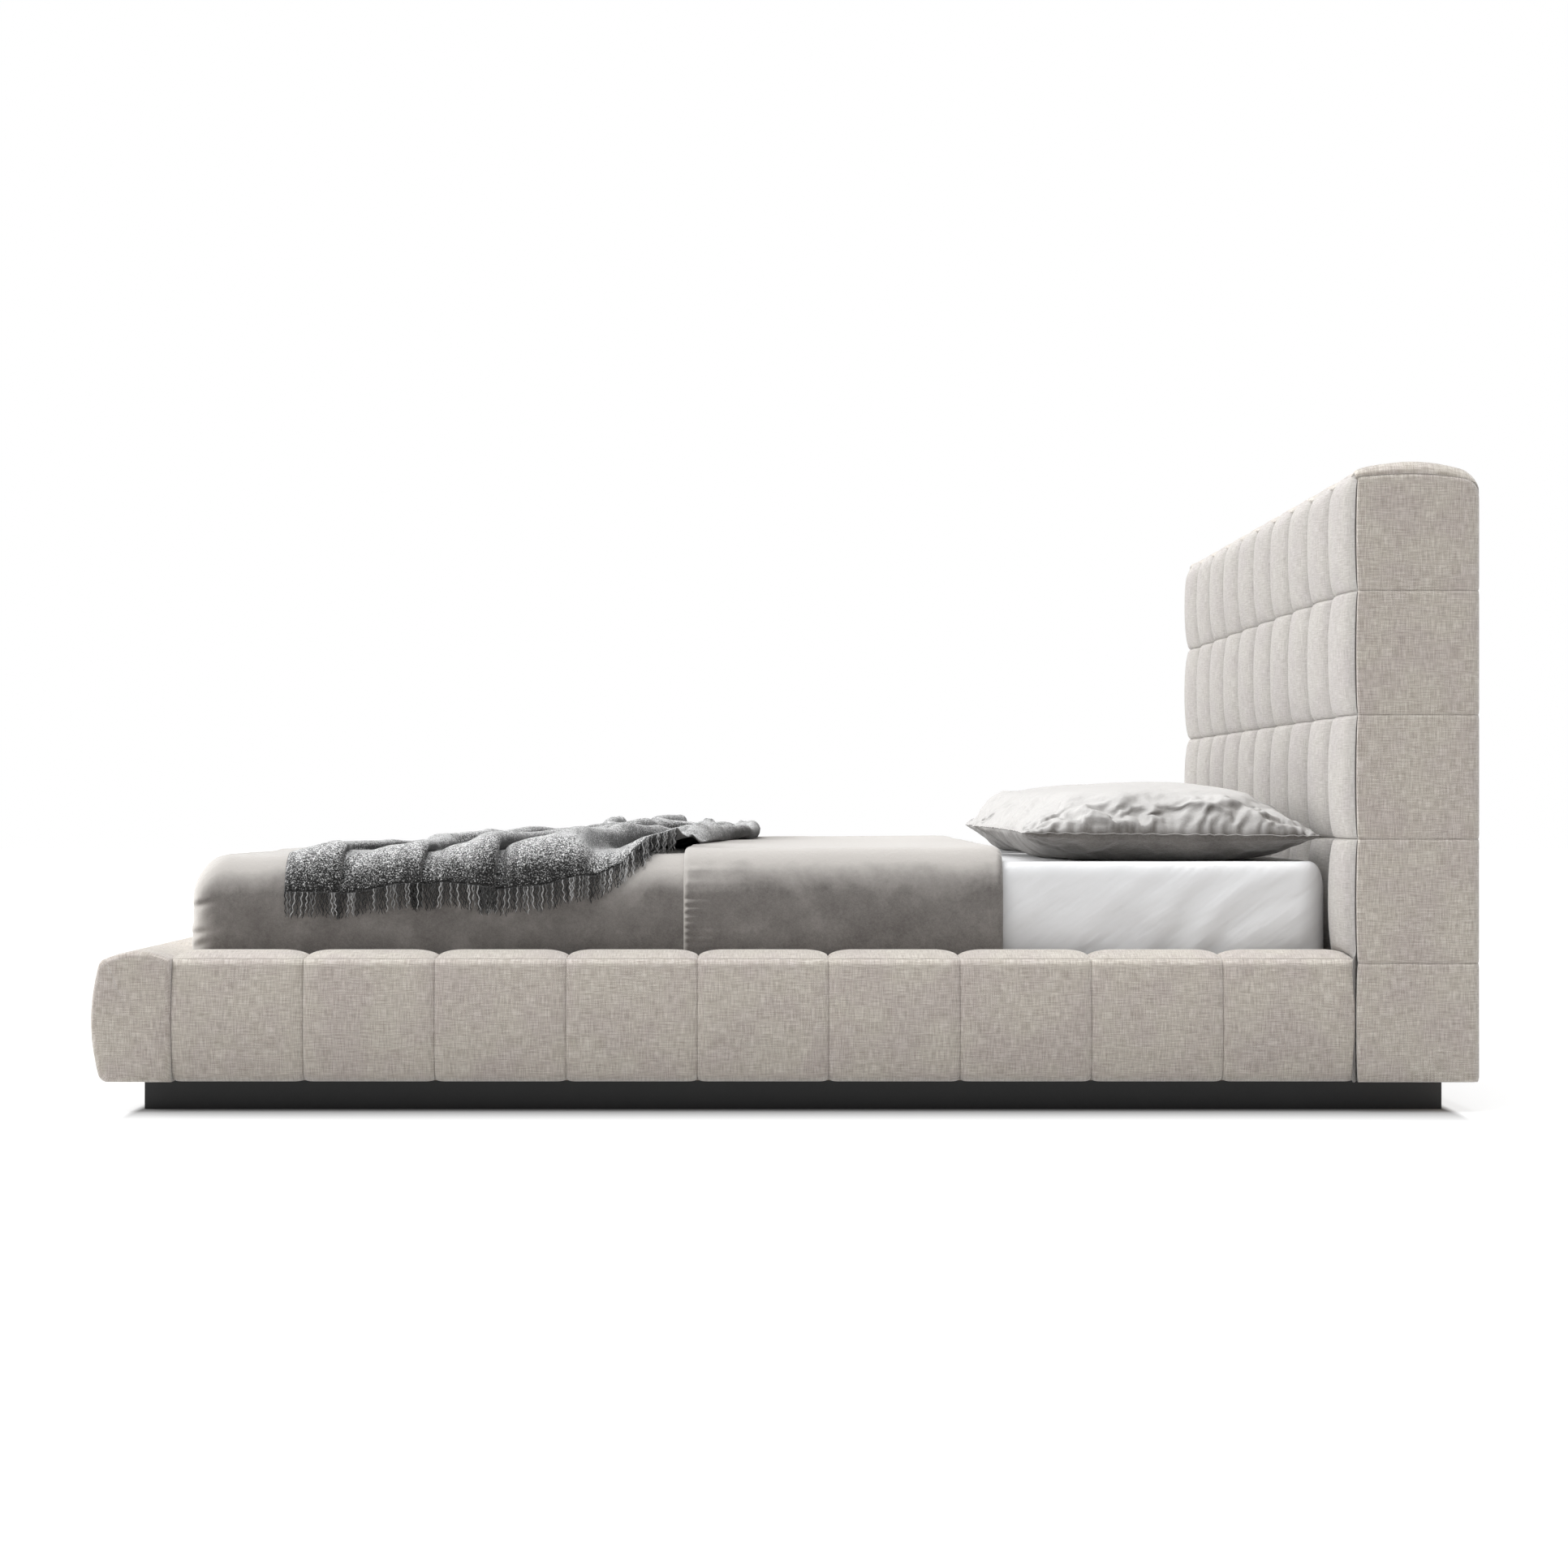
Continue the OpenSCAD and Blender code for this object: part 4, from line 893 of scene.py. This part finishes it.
THROW_W, THROW_L, WOOL_T = 1.12, 2.06, 3.6 * MM
DUVET_HALF = DUVET_HIGH[1] - FOLD_SIDE_T
DUVET_TOP = DUVET_HIGH[2] - FOLD_T
SOFT_IN, SOFT_DOWN = 60 * MM, 73 * MM


def off_duvet(points, gap):
    """Points pushed out of the duvet's rounded box until they clear it by gap."""
    p = np.array(points, float)
    on_fold = ease(p[..., 0], FOLD_X - 12 * MM, FOLD_X + 4 * MM)
    half, top = DUVET_HALF + FOLD_SIDE_T * on_fold + gap, DUVET_TOP + FOLD_T * on_fold + gap
    y, z, side = np.abs(p[..., 1]), p[..., 2], np.sign(p[..., 1])
    e, f = y - (half - SOFT_IN), z - (top - SOFT_DOWN)
    r = np.hypot(e / SOFT_IN, f / SOFT_DOWN)
    corner = (e > 0) & (f > 0)
    k = np.where(corner & (r < 1), 1 / np.maximum(r, 1e-3), 1)
    y = np.where(corner, half - SOFT_IN + e * k, np.where(e > 0, np.maximum(y, half), y))
    z = np.where(corner, top - SOFT_DOWN + f * k, np.where(e <= 0, np.maximum(z, top), z))
    p[..., 1], p[..., 2] = side * y, z
    return p


def throw_start(nu, nv):
    """The throw as first laid: folds run along it, its near end hangs over the duvet's edge."""
    u, v = np.linspace(0, THROW_W, nu), np.linspace(0, THROW_L, nv)
    uu, vv = np.meshgrid(u, v, indexing="ij")
    across = np.interp(v, (0, 0.25, 0.50, 1.05, 1.45, THROW_L), (-0.892, -0.886, -0.830, -0.66, -0.47, -0.40))
    right = np.interp(v, (0, 0.15, 1.05, THROW_L), (-0.196, -0.188, -0.125, -0.045))
    width = right - across
    grid = np.stack([uu, vv], -1)
    longer = grid * (1, 0.32)
    phase = TAU * 4.8 * uu / THROW_W + 2.4 * noise(longer, 0.30, 61, 2) + 0.9 * noise(grid, 0.7, 62, 1)
    wave = (0.85 * np.sin(phase) + 0.42 * np.sin(2 * phase + 1.1)) * (1 + 0.45 * noise(longer, 0.22, 63, 2))
    wave = wave + 0.42 * noise(longer, 0.085, 64, 2)
    low, high = np.zeros(nv), np.full(nv, 2.4)
    step = THROW_W / (nu - 1)
    for _ in range(18):
        a = (low + high) / 2
        reach = np.sum(np.cos((a * wave)[:-1]), axis=0) * step
        low, high = np.where(reach > width, a, low), np.where(reach > width, high, a)
    theta = a * wave
    x = across + np.concatenate([np.zeros((1, nv)), np.cumsum(np.cos(theta[:-1]), axis=0) * step])
    h = np.concatenate([np.zeros((1, nv)), np.cumsum(np.sin(theta[:-1]), axis=0) * step])
    spread = np.exp(-((u[:, None] - u[None, :]) / 0.10) ** 2)
    h = h - spread @ h / spread.sum(1)[:, None]
    h = h * (1 + 0.35 * noise(grid, 0.16, 65, 2)) + 4.5 * MM * noise(grid, 0.11, 66, 2)
    h = np.log1p(np.exp((h + 14 * MM) / (5 * MM))) * 5 * MM
    hem = np.interp(x[:, 0], (-0.894, -0.776, -0.694, -0.607, -0.515, -0.427, -0.340, -0.288, -0.236, -0.18),
                    (0.377, 0.374, 0.388, 0.391, 0.381, 0.385, 0.403, 0.426, 0.447, 0.452))
    a = np.linspace(0, math.pi / 2, 40)
    py = np.concatenate([[-DUVET_HALF], -DUVET_HALF + SOFT_IN - SOFT_IN * np.cos(a), [DUVET_HALF]])
    pz = np.concatenate([[DUVET_TOP - 0.2], DUVET_TOP - SOFT_DOWN + SOFT_DOWN * np.sin(a), [DUVET_TOP]])
    length = run_length(np.stack([py, pz], -1))
    start = np.interp(np.minimum(hem, DUVET_TOP - 0.1 * MM), pz[:-1], length[:-1]) + np.maximum(hem - DUVET_TOP, 0) * 9
    s = start[:, None] + vv
    y, z = np.interp(s, length, py), np.interp(s, length, pz)
    ny, nz = np.gradient(np.interp(s, length, pz), axis=1), np.gradient(np.interp(s, length, py), axis=1)
    size = np.maximum(np.hypot(ny, nz), 1e-9)
    ny, nz = -ny / size, nz / size
    hang = 1 - 0.70 * ease(-nz, -0.7, 0.05)
    h = h * hang * (0.42 + 0.58 * ease(x, -0.86, -0.30)) + 3 * MM
    return np.stack([x, y + ny * h, z + nz * h], -1), grid


def finer(grid):
    """Twice as many rows and columns, on smooth curves through the old ones."""
    for axis in (0, 1):
        g = np.moveaxis(grid, axis, 0)
        e = np.concatenate([2 * g[:1] - g[1:2], g, 2 * g[-1:] - g[-2:-1]])
        middle = (9 * (e[1:-2] + e[2:-1]) - e[:-3] - e[3:]) / 16
        out = np.empty((2 * len(g) - 1,) + g.shape[1:])
        out[::2], out[1::2] = g, middle
        grid = np.moveaxis(out, 0, axis)
    return grid


def unit(v):
    return v / np.maximum(np.linalg.norm(v, axis=-1, keepdims=True), 1e-9)


def strands(name, roots, toward, gap, seed):
    """Twisted fringe: one thin cord from each root, that leaves along toward and then hangs or lies."""
    rng = np.random.default_rng(seed)
    n, rings, sides, radius = len(roots), 16, 6, 0.95 * MM
    length = 44 * MM * (1 + 0.07 * rng.standard_normal(n))
    drift = 0.10 * rng.standard_normal(n) + 0.30 * noise(np.stack([np.arange(n) / 9.0, 0 * roots[:, 0]], -1), 1, seed, 2)
    p, way = roots.copy(), unit(toward)
    path = [p]
    for k in range(1, rings):
        t = k / (rings - 1)
        fall = np.array([0, 0, -1.0])
        side = np.stack([drift * (0.4 + t), 0 * drift, 0 * drift], -1)
        way = unit(0.72 * way + 0.42 * fall + 0.22 * side)
        q = off_duvet(p + way * (length / (rings - 1))[:, None], gap)
        way = unit(q - p)
        p = p + way * (length / (rings - 1))[:, None]
        path.append(p)
    path = np.stack(path, 1)
    t = np.linspace(0, 1, rings)
    curl = np.sin(TAU * (rng.uniform(2.2, 3.4, n)[:, None] * t + rng.uniform(0, 1, n)[:, None]))
    path[..., 0] += 1.5 * MM * curl * puff(t, 0.3)
    along = unit(np.gradient(path, axis=1))
    one = unit(np.cross(along, np.array([0.3, 0.2, 0.93])))
    two = np.cross(along, one)
    a = np.arange(sides) / sides * TAU
    twist = TAU * 5.5 * t[None, :, None] + rng.uniform(0, TAU, n)[:, None, None]
    size = radius * (1 + 0.30 * np.cos(2 * (a - twist))) * (1 - 0.35 * t[None, :, None] ** 3)
    size[:, -1] *= 0.4
    ring = path[:, :, None] + one[:, :, None] * (np.cos(a) * size)[..., None] + two[:, :, None] * (np.sin(a) * size)[..., None]
    co = ring.reshape(-1, 3)
    base = (np.arange(n) * rings * sides)[:, None, None]
    i, j = np.meshgrid(np.arange(rings - 1), np.arange(sides), indexing="ij")
    quad = np.stack([i * sides + j, i * sides + (j + 1) % sides, (i + 1) * sides + (j + 1) % sides,
                     (i + 1) * sides + j], -1).reshape(1, -1, 4) + base
    ends = []
    for b in base[:, 0, 0].tolist():
        ends.append([b + k for k in reversed(range(sides))])
        ends.append([b + (rings - 1) * sides + k for k in range(sides)])
    mesh = bpy.data.meshes.new(name)
    mesh.from_pydata(co.tolist(), [], quad.reshape(-1, 4).tolist() + ends)
    layer = mesh.uv_layers.new(name="cloth")
    which = np.empty(len(mesh.loops), np.int32)
    mesh.loops.foreach_get("vertex_index", which)
    tone = rng.uniform(0, 1, n)[which // (rings * sides)]
    layer.data.foreach_set("uv", np.stack([tone, co[which][:, 2]], -1).astype(np.float32).reshape(-1))
    mesh.shade_smooth()
    return mesh


def throw():
    points, flat = throw_start(94, 172)
    points, flat = finer(points), finer(flat)
    points = off_duvet(points, 3.2 * MM)
    normal = unit(np.cross(np.gradient(points, axis=0), np.gradient(points, axis=1)))
    fuzz = 0.5 * MM * noise(flat, 0.012, 71, 2)
    edge = np.minimum(np.minimum(flat[..., 0], THROW_W - flat[..., 0]), np.minimum(flat[..., 1], THROW_L - flat[..., 1]))
    half = (WOOL_T / 2 + fuzz) * puff(edge, 3 * MM)
    patches = [(points + normal * half[..., None], flat), ((points - normal * half[..., None])[::-1], flat[::-1])]
    obj = piece("throw_cloth", mesh_of("throw_cloth", patches), "throw", "charcoal_wool", LOOKS["charcoal_wool"],
                "throw_blanket")
    near, far = points[:, 0], points[:, -1]
    step = 3.1 * MM
    meshes = []
    for name, row, inner, seed in (("throw_fringe_near", near, points[:, 3], 81), ("throw_fringe_far", far, points[:, -4], 82)):
        run = run_length(row)
        at = np.arange(0.5 * step, run[-1], step)
        pick = lambda values: np.stack([np.interp(at, run, values[:, k]) for k in range(3)], -1)
        roots, way = pick(row), pick(row - inner)
        meshes.append(strands(name, roots - unit(way) * 2 * MM, way, 2.6 * MM, seed))
    for mesh in meshes:
        piece(mesh.name, mesh, "throw", "charcoal_wool", LOOKS["wool_fringe"])
    return obj


# ---------- Pillows ----------

def pillow(name, node, tips, seed):
    """A soft bag with pointed corners: seam round the middle, dimpled near it, flat where it lies.

    tips are its corners, near left, near right, far left and far right."""
    low, high = span(node)
    seam_z = low[2] + 42 * MM
    t = np.linspace(-1, 1, 150)
    s = 0.6 * t + 0.4 * np.sin(math.pi / 2 * t)
    a, b = np.meshgrid(s, s, indexing="ij")
    weights = ((1 - b) * (1 - a) / 4, (1 - b) * (1 + a) / 4, (1 + b) * (1 - a) / 4, (1 + b) * (1 + a) / 4)
    corner_x, corner_y, tip = (sum(w * t[k] for w, t in zip(weights, tips)) for k in range(3))
    size = np.array([tips[1][0] - tips[0][0], tips[2][1] - tips[0][1]])
    middle = np.mean(np.array(tips), axis=0)
    x = corner_x - (corner_x - middle[0]) * 0.075 * (1 - b ** 2) * np.abs(a) ** 3
    y = corner_y - (corner_y - middle[1]) * 0.045 * (1 - a ** 2) * np.abs(b) ** 3
    da, db = (1 - np.abs(a)) * size[0] / 2, (1 - np.abs(b)) * size[1] / 2
    body = (puff(da, 0.26) ** 1.2 * puff(db, 0.27) ** 1.2) ** 0.85
    border = np.minimum(da, db)
    plan = np.stack([x, y], -1)
    run = np.where(da < db, y, x)
    crimp = np.sin(TAU * (run / 0.031 + 1.6 * noise(plan, 0.08, seed, 2)))
    near_edge = np.exp(-border / 0.016) * puff(border, 0.006)
    rim = np.exp(-((border - 0.045) / 0.040) ** 2)
    dimple = noise(plan * np.where(da < db, 0.8, 1.0)[..., None], 0.050, seed + 1, 3)
    dent = noise(plan, 0.14, seed + 4, 2)
    folds = noise(np.stack([x * 2.0, y * 0.7], -1), 0.16, seed + 2, 3)
    corner = np.exp(-np.hypot(da, db) / 0.075)
    ray = np.abs(np.sin(np.arctan2(db + 0.004, da + 0.004) * 9 + 0.8 * noise(plan, 0.06, seed + 3, 1))) - 0.6
    bumps = (1.5 * crimp * near_edge + 17 * dimple * rim * puff(border, 0.012) + 1.6 * dent * body
             + 1.4 * folds * body + 9.0 * ray * corner * puff(border, 0.012)) * MM
    seam = seam_z + (tip - seam_z) * np.maximum(a ** 2, b ** 2) ** 2
    seam = seam + 1.2 * MM * crimp * puff(0.01 - border, 0.01) * puff(1 - np.abs(a * b), 0.1)
    top = seam + body * (high[2] + 4 * MM - seam_z) + bumps
    under = seam - body * (seam_z - low[2]) * 1.5 - 0.35 * bumps
    under = low[2] + np.log1p(np.exp((under - low[2]) / (4 * MM))) * 4 * MM
    under = np.minimum(under, seam)
    on_seam = border < 1e-9
    under = np.where(on_seam, seam, under)
    top = np.where(on_seam, seam, np.maximum(top, under + 0.2 * MM))
    patches = [(np.stack([x, y, top], -1), plan), (np.stack([x, y, under], -1), plan)]
    mesh = mesh_of(name, patches)
    line = np.concatenate([np.stack([x, y, seam], -1)[k] for k in ((slice(0, -1), 0), (-1, slice(0, -1)),
                                                                    (slice(-1, 0, -1), -1), (0, slice(-1, 0, -1)))])
    crease(mesh, line, 10 * MM, low[2])
    obj = piece(name, mesh, node, "pillow_velvet", LOOKS["pillow_velvet"], node, fill=0.65)
    cord = welt(name.replace("cover", "welt"), line, 1.1 * MM)
    piece(cord.name, cord, node, "pillow_velvet", LOOKS["pillow_velvet"])
    return obj


def crease(mesh, seam, limit, rest_z, frames=16):
    """A cover cut larger than its filling: a short cloth simulation buckles it into creases.

    Its seam stays in place, no point moves further than limit and none sinks below rest_z. The creases
    are deepest in a belt over the seam, and weak on the crown and underneath."""
    scene = bpy.context.scene
    obj = bpy.data.objects.new("loose_cover", mesh)
    scene.collection.objects.link(obj)
    start = np.empty(3 * len(mesh.vertices), np.float32)
    mesh.vertices.foreach_get("co", start)
    start = start.reshape(-1, 3).astype(float)
    tree = KDTree(len(start))
    for k, point in enumerate(start):
        tree.insert(point, k)
    tree.balance()
    held = obj.vertex_groups.new(name="seam")
    held.add(sorted({tree.find(point)[1] for point in seam}), 1.0, "REPLACE")
    cloth = obj.modifiers.new("cloth", "CLOTH")
    cloth.collision_settings.use_collision = False
    cloth.point_cache.frame_start, cloth.point_cache.frame_end = 1, frames
    settings = cloth.settings
    settings.quality = 5
    settings.mass = 0.3
    settings.tension_stiffness = settings.compression_stiffness = 20
    settings.shear_stiffness = 6
    settings.bending_stiffness = 0.1
    settings.use_pressure = True
    settings.uniform_pressure_force = 2.0
    settings.effector_weights.gravity = 0
    settings.shrink_min = -0.07
    settings.vertex_group_mass = "seam"
    for frame in range(1, frames + 1):
        scene.frame_set(frame)
    solved = obj.evaluated_get(bpy.context.evaluated_depsgraph_get()).data
    moved = np.empty(3 * len(start), np.float32)
    solved.vertices.foreach_get("co", moved)
    bpy.data.objects.remove(obj)
    scene.frame_set(1)
    move = moved.reshape(-1, 3) - start
    size = np.maximum(np.linalg.norm(move, axis=1, keepdims=True), 1e-9)
    seam_tree = KDTree(len(seam))
    for k, point in enumerate(seam):
        seam_tree.insert(point, k)
    seam_tree.balance()
    hits = [seam_tree.find(point) for point in start]
    away = np.array([hit[2] for hit in hits])
    over = start[:, 2] - np.array([hit[0][2] for hit in hits])
    share = (0.22 + 0.78 * np.exp(-(away / 0.12) ** 2)) * (0.35 + 0.65 * ease(over, 0.0, 6 * MM))
    points = start + move * limit * np.tanh(size / limit) / size * share[:, None]
    points[:, 2] = np.maximum(points[:, 2], np.minimum(start[:, 2], rest_z + 0.2 * MM))
    mesh.vertices.foreach_set("co", points.astype(np.float32).reshape(-1))
    mesh.update()


def welt(name, line, radius):
    """Thin corded edge along a closed line."""
    run = run_length(np.concatenate([line, line[:1]]))
    at = np.linspace(0, run[-1], int(run[-1] / 0.008), endpoint=False)
    line = np.stack([np.interp(at, run, np.append(line[:, k], line[0, k])) for k in range(3)], -1)
    along = unit(np.roll(line, -1, axis=0) - np.roll(line, 1, axis=0))
    up = unit(np.array([0, 0, 1.0]) - along * along[:, 2:])
    out = np.cross(along, up)
    a = np.linspace(0, TAU, 9)
    ring = line[:, None] + radius * (up[:, None] * np.sin(a)[None, :, None] + out[:, None] * np.cos(a)[None, :, None])
    ring[:, -1] = ring[:, 0]
    ring = np.concatenate([ring, ring[:1]])
    cloth = np.stack([np.append(at, run[-1])[:, None] + 0 * a, radius * a + 0 * ring[..., 0]], -1)
    return mesh_of(name, [(ring, cloth)])


# ---------- Light, floor and camera ----------

def studio():
    scene = bpy.context.scene
    scene.view_settings.view_transform = "Standard"
    camera = bpy.data.objects.new("camera", bpy.data.cameras.new("camera"))
    scene.collection.objects.link(camera)
    camera.location = (-0.011, -6.77, 0.539)
    camera.rotation_euler = (math.pi / 2, 0, 0)
    camera.data.lens = 74.6
    camera.data.sensor_width = 36
    camera.data.shift_x = 0.0031
    camera.data.shift_y = 0.0114
    scene.camera = camera

    world = bpy.data.worlds.new("studio")
    scene.world = world
    world.use_nodes = True
    tree = world.node_tree
    tree.nodes.clear()
    seen = tree.nodes.new("ShaderNodeBackground")
    seen.inputs["Color"].default_value = (1, 1, 1, 1)
    lit = tree.nodes.new("ShaderNodeBackground")
    lit.inputs["Color"].default_value = (0.97, 0.985, 1, 1)
    lit.inputs["Strength"].default_value = 0.32
    path = tree.nodes.new("ShaderNodeLightPath")
    mix = tree.nodes.new("ShaderNodeMixShader")
    out = tree.nodes.new("ShaderNodeOutputWorld")
    tree.links.new(path.outputs["Is Camera Ray"], mix.inputs[0])
    tree.links.new(lit.outputs[0], mix.inputs[1])
    tree.links.new(seen.outputs[0], mix.inputs[2])
    tree.links.new(mix.outputs[0], out.inputs[0])

    for name, toward, strength, spread in (("sky_light", (0.30, 0.04, -1), 3.7, 66),
                                           ("foot_light", (1, -0.45, -0.36), 2.15, 28)):
        sun = bpy.data.objects.new(name, bpy.data.lights.new(name, "SUN"))
        sun.data.energy = strength
        sun.data.angle = math.radians(spread)
        sun.rotation_euler = Vector(toward).to_track_quat("-Z", "Y").to_euler()
        scene.collection.objects.link(sun)

    size = 30
    mesh = bpy.data.meshes.new("floor")
    mesh.from_pydata([(-size, -size, 0), (size, -size, 0), (size, size, 0), (-size, size, 0)], [], [(0, 1, 2, 3)])
    floor = bpy.data.objects.new("floor", mesh)
    scene.collection.objects.link(floor)
    look = Nodes("floor")
    look.set(Base_Color=(0.3, 0.3, 0.3, 1), Roughness=0.9, Emission_Color=(1, 1, 1, 1), Emission_Strength=0.78,
             Specular_IOR_Level=0.1)
    # Painted contact shadow: the floor's glow drops from 0.78 to nothing close to the plinth's long sides, and fades
    # fast past its ends.
    parts = look.tree.nodes.new("ShaderNodeSeparateXYZ")
    look.link(look.add("TexCoord", out=3), parts.inputs[0])
    (x0, y0, _), (x1, _, _) = span("plinth_foot")[0], span("plinth_head")[1]
    off_x = look.math("SUBTRACT", look.math("ABSOLUTE", look.math("SUBTRACT", parts.outputs[0], (x0 + x1) / 2)), (x1 - x0) / 2)
    off_y = look.math("SUBTRACT", look.math("ABSOLUTE", parts.outputs[1]), -span("plinth_left")[0][1])
    past_end = look.math("MULTIPLY", look.math("MAXIMUM", off_x, 0.0), 14.0)
    away = look.math("POWER", look.math("ADD", look.math("POWER", past_end, 2.0),
                                        look.math("POWER", look.math("MAXIMUM", off_y, 0.0), 2.0)), 0.5)
    floor_glow_painted_shadow = look.ramp(away, (0.0, grey(0.0)), (0.27, grey(0.78)), (0.13, grey(0.36)))
    look.link(floor_glow_painted_shadow, look.shader.inputs["Emission Strength"])
    mesh.materials.append(look.material)


studio()
dress_nodes()
side_rail("left_rail_cover", -1)
side_rail("right_rail_cover", 1)
foot_rail()
headboard_front()
headboard_side("headboard_left_cover", -1)
headboard_side("headboard_right_cover", 1)
headboard_top()
headboard_back()
mattress()
top_foam()
fitted_sheet()
duvet()
throw()
pillow("pillow_left_cover", "pillow_left",
       ((0.425, -0.942, 0.483), (0.960, -0.942, 0.4775), (0.388, -0.050, 0.490), (0.950, -0.055, 0.480)), 31)
pillow("pillow_right_cover", "pillow_right",
       ((0.402, -0.020, 0.492), (0.955, -0.020, 0.484), (0.427, 0.860, 0.485), (0.957, 0.875, 0.490)), 47)
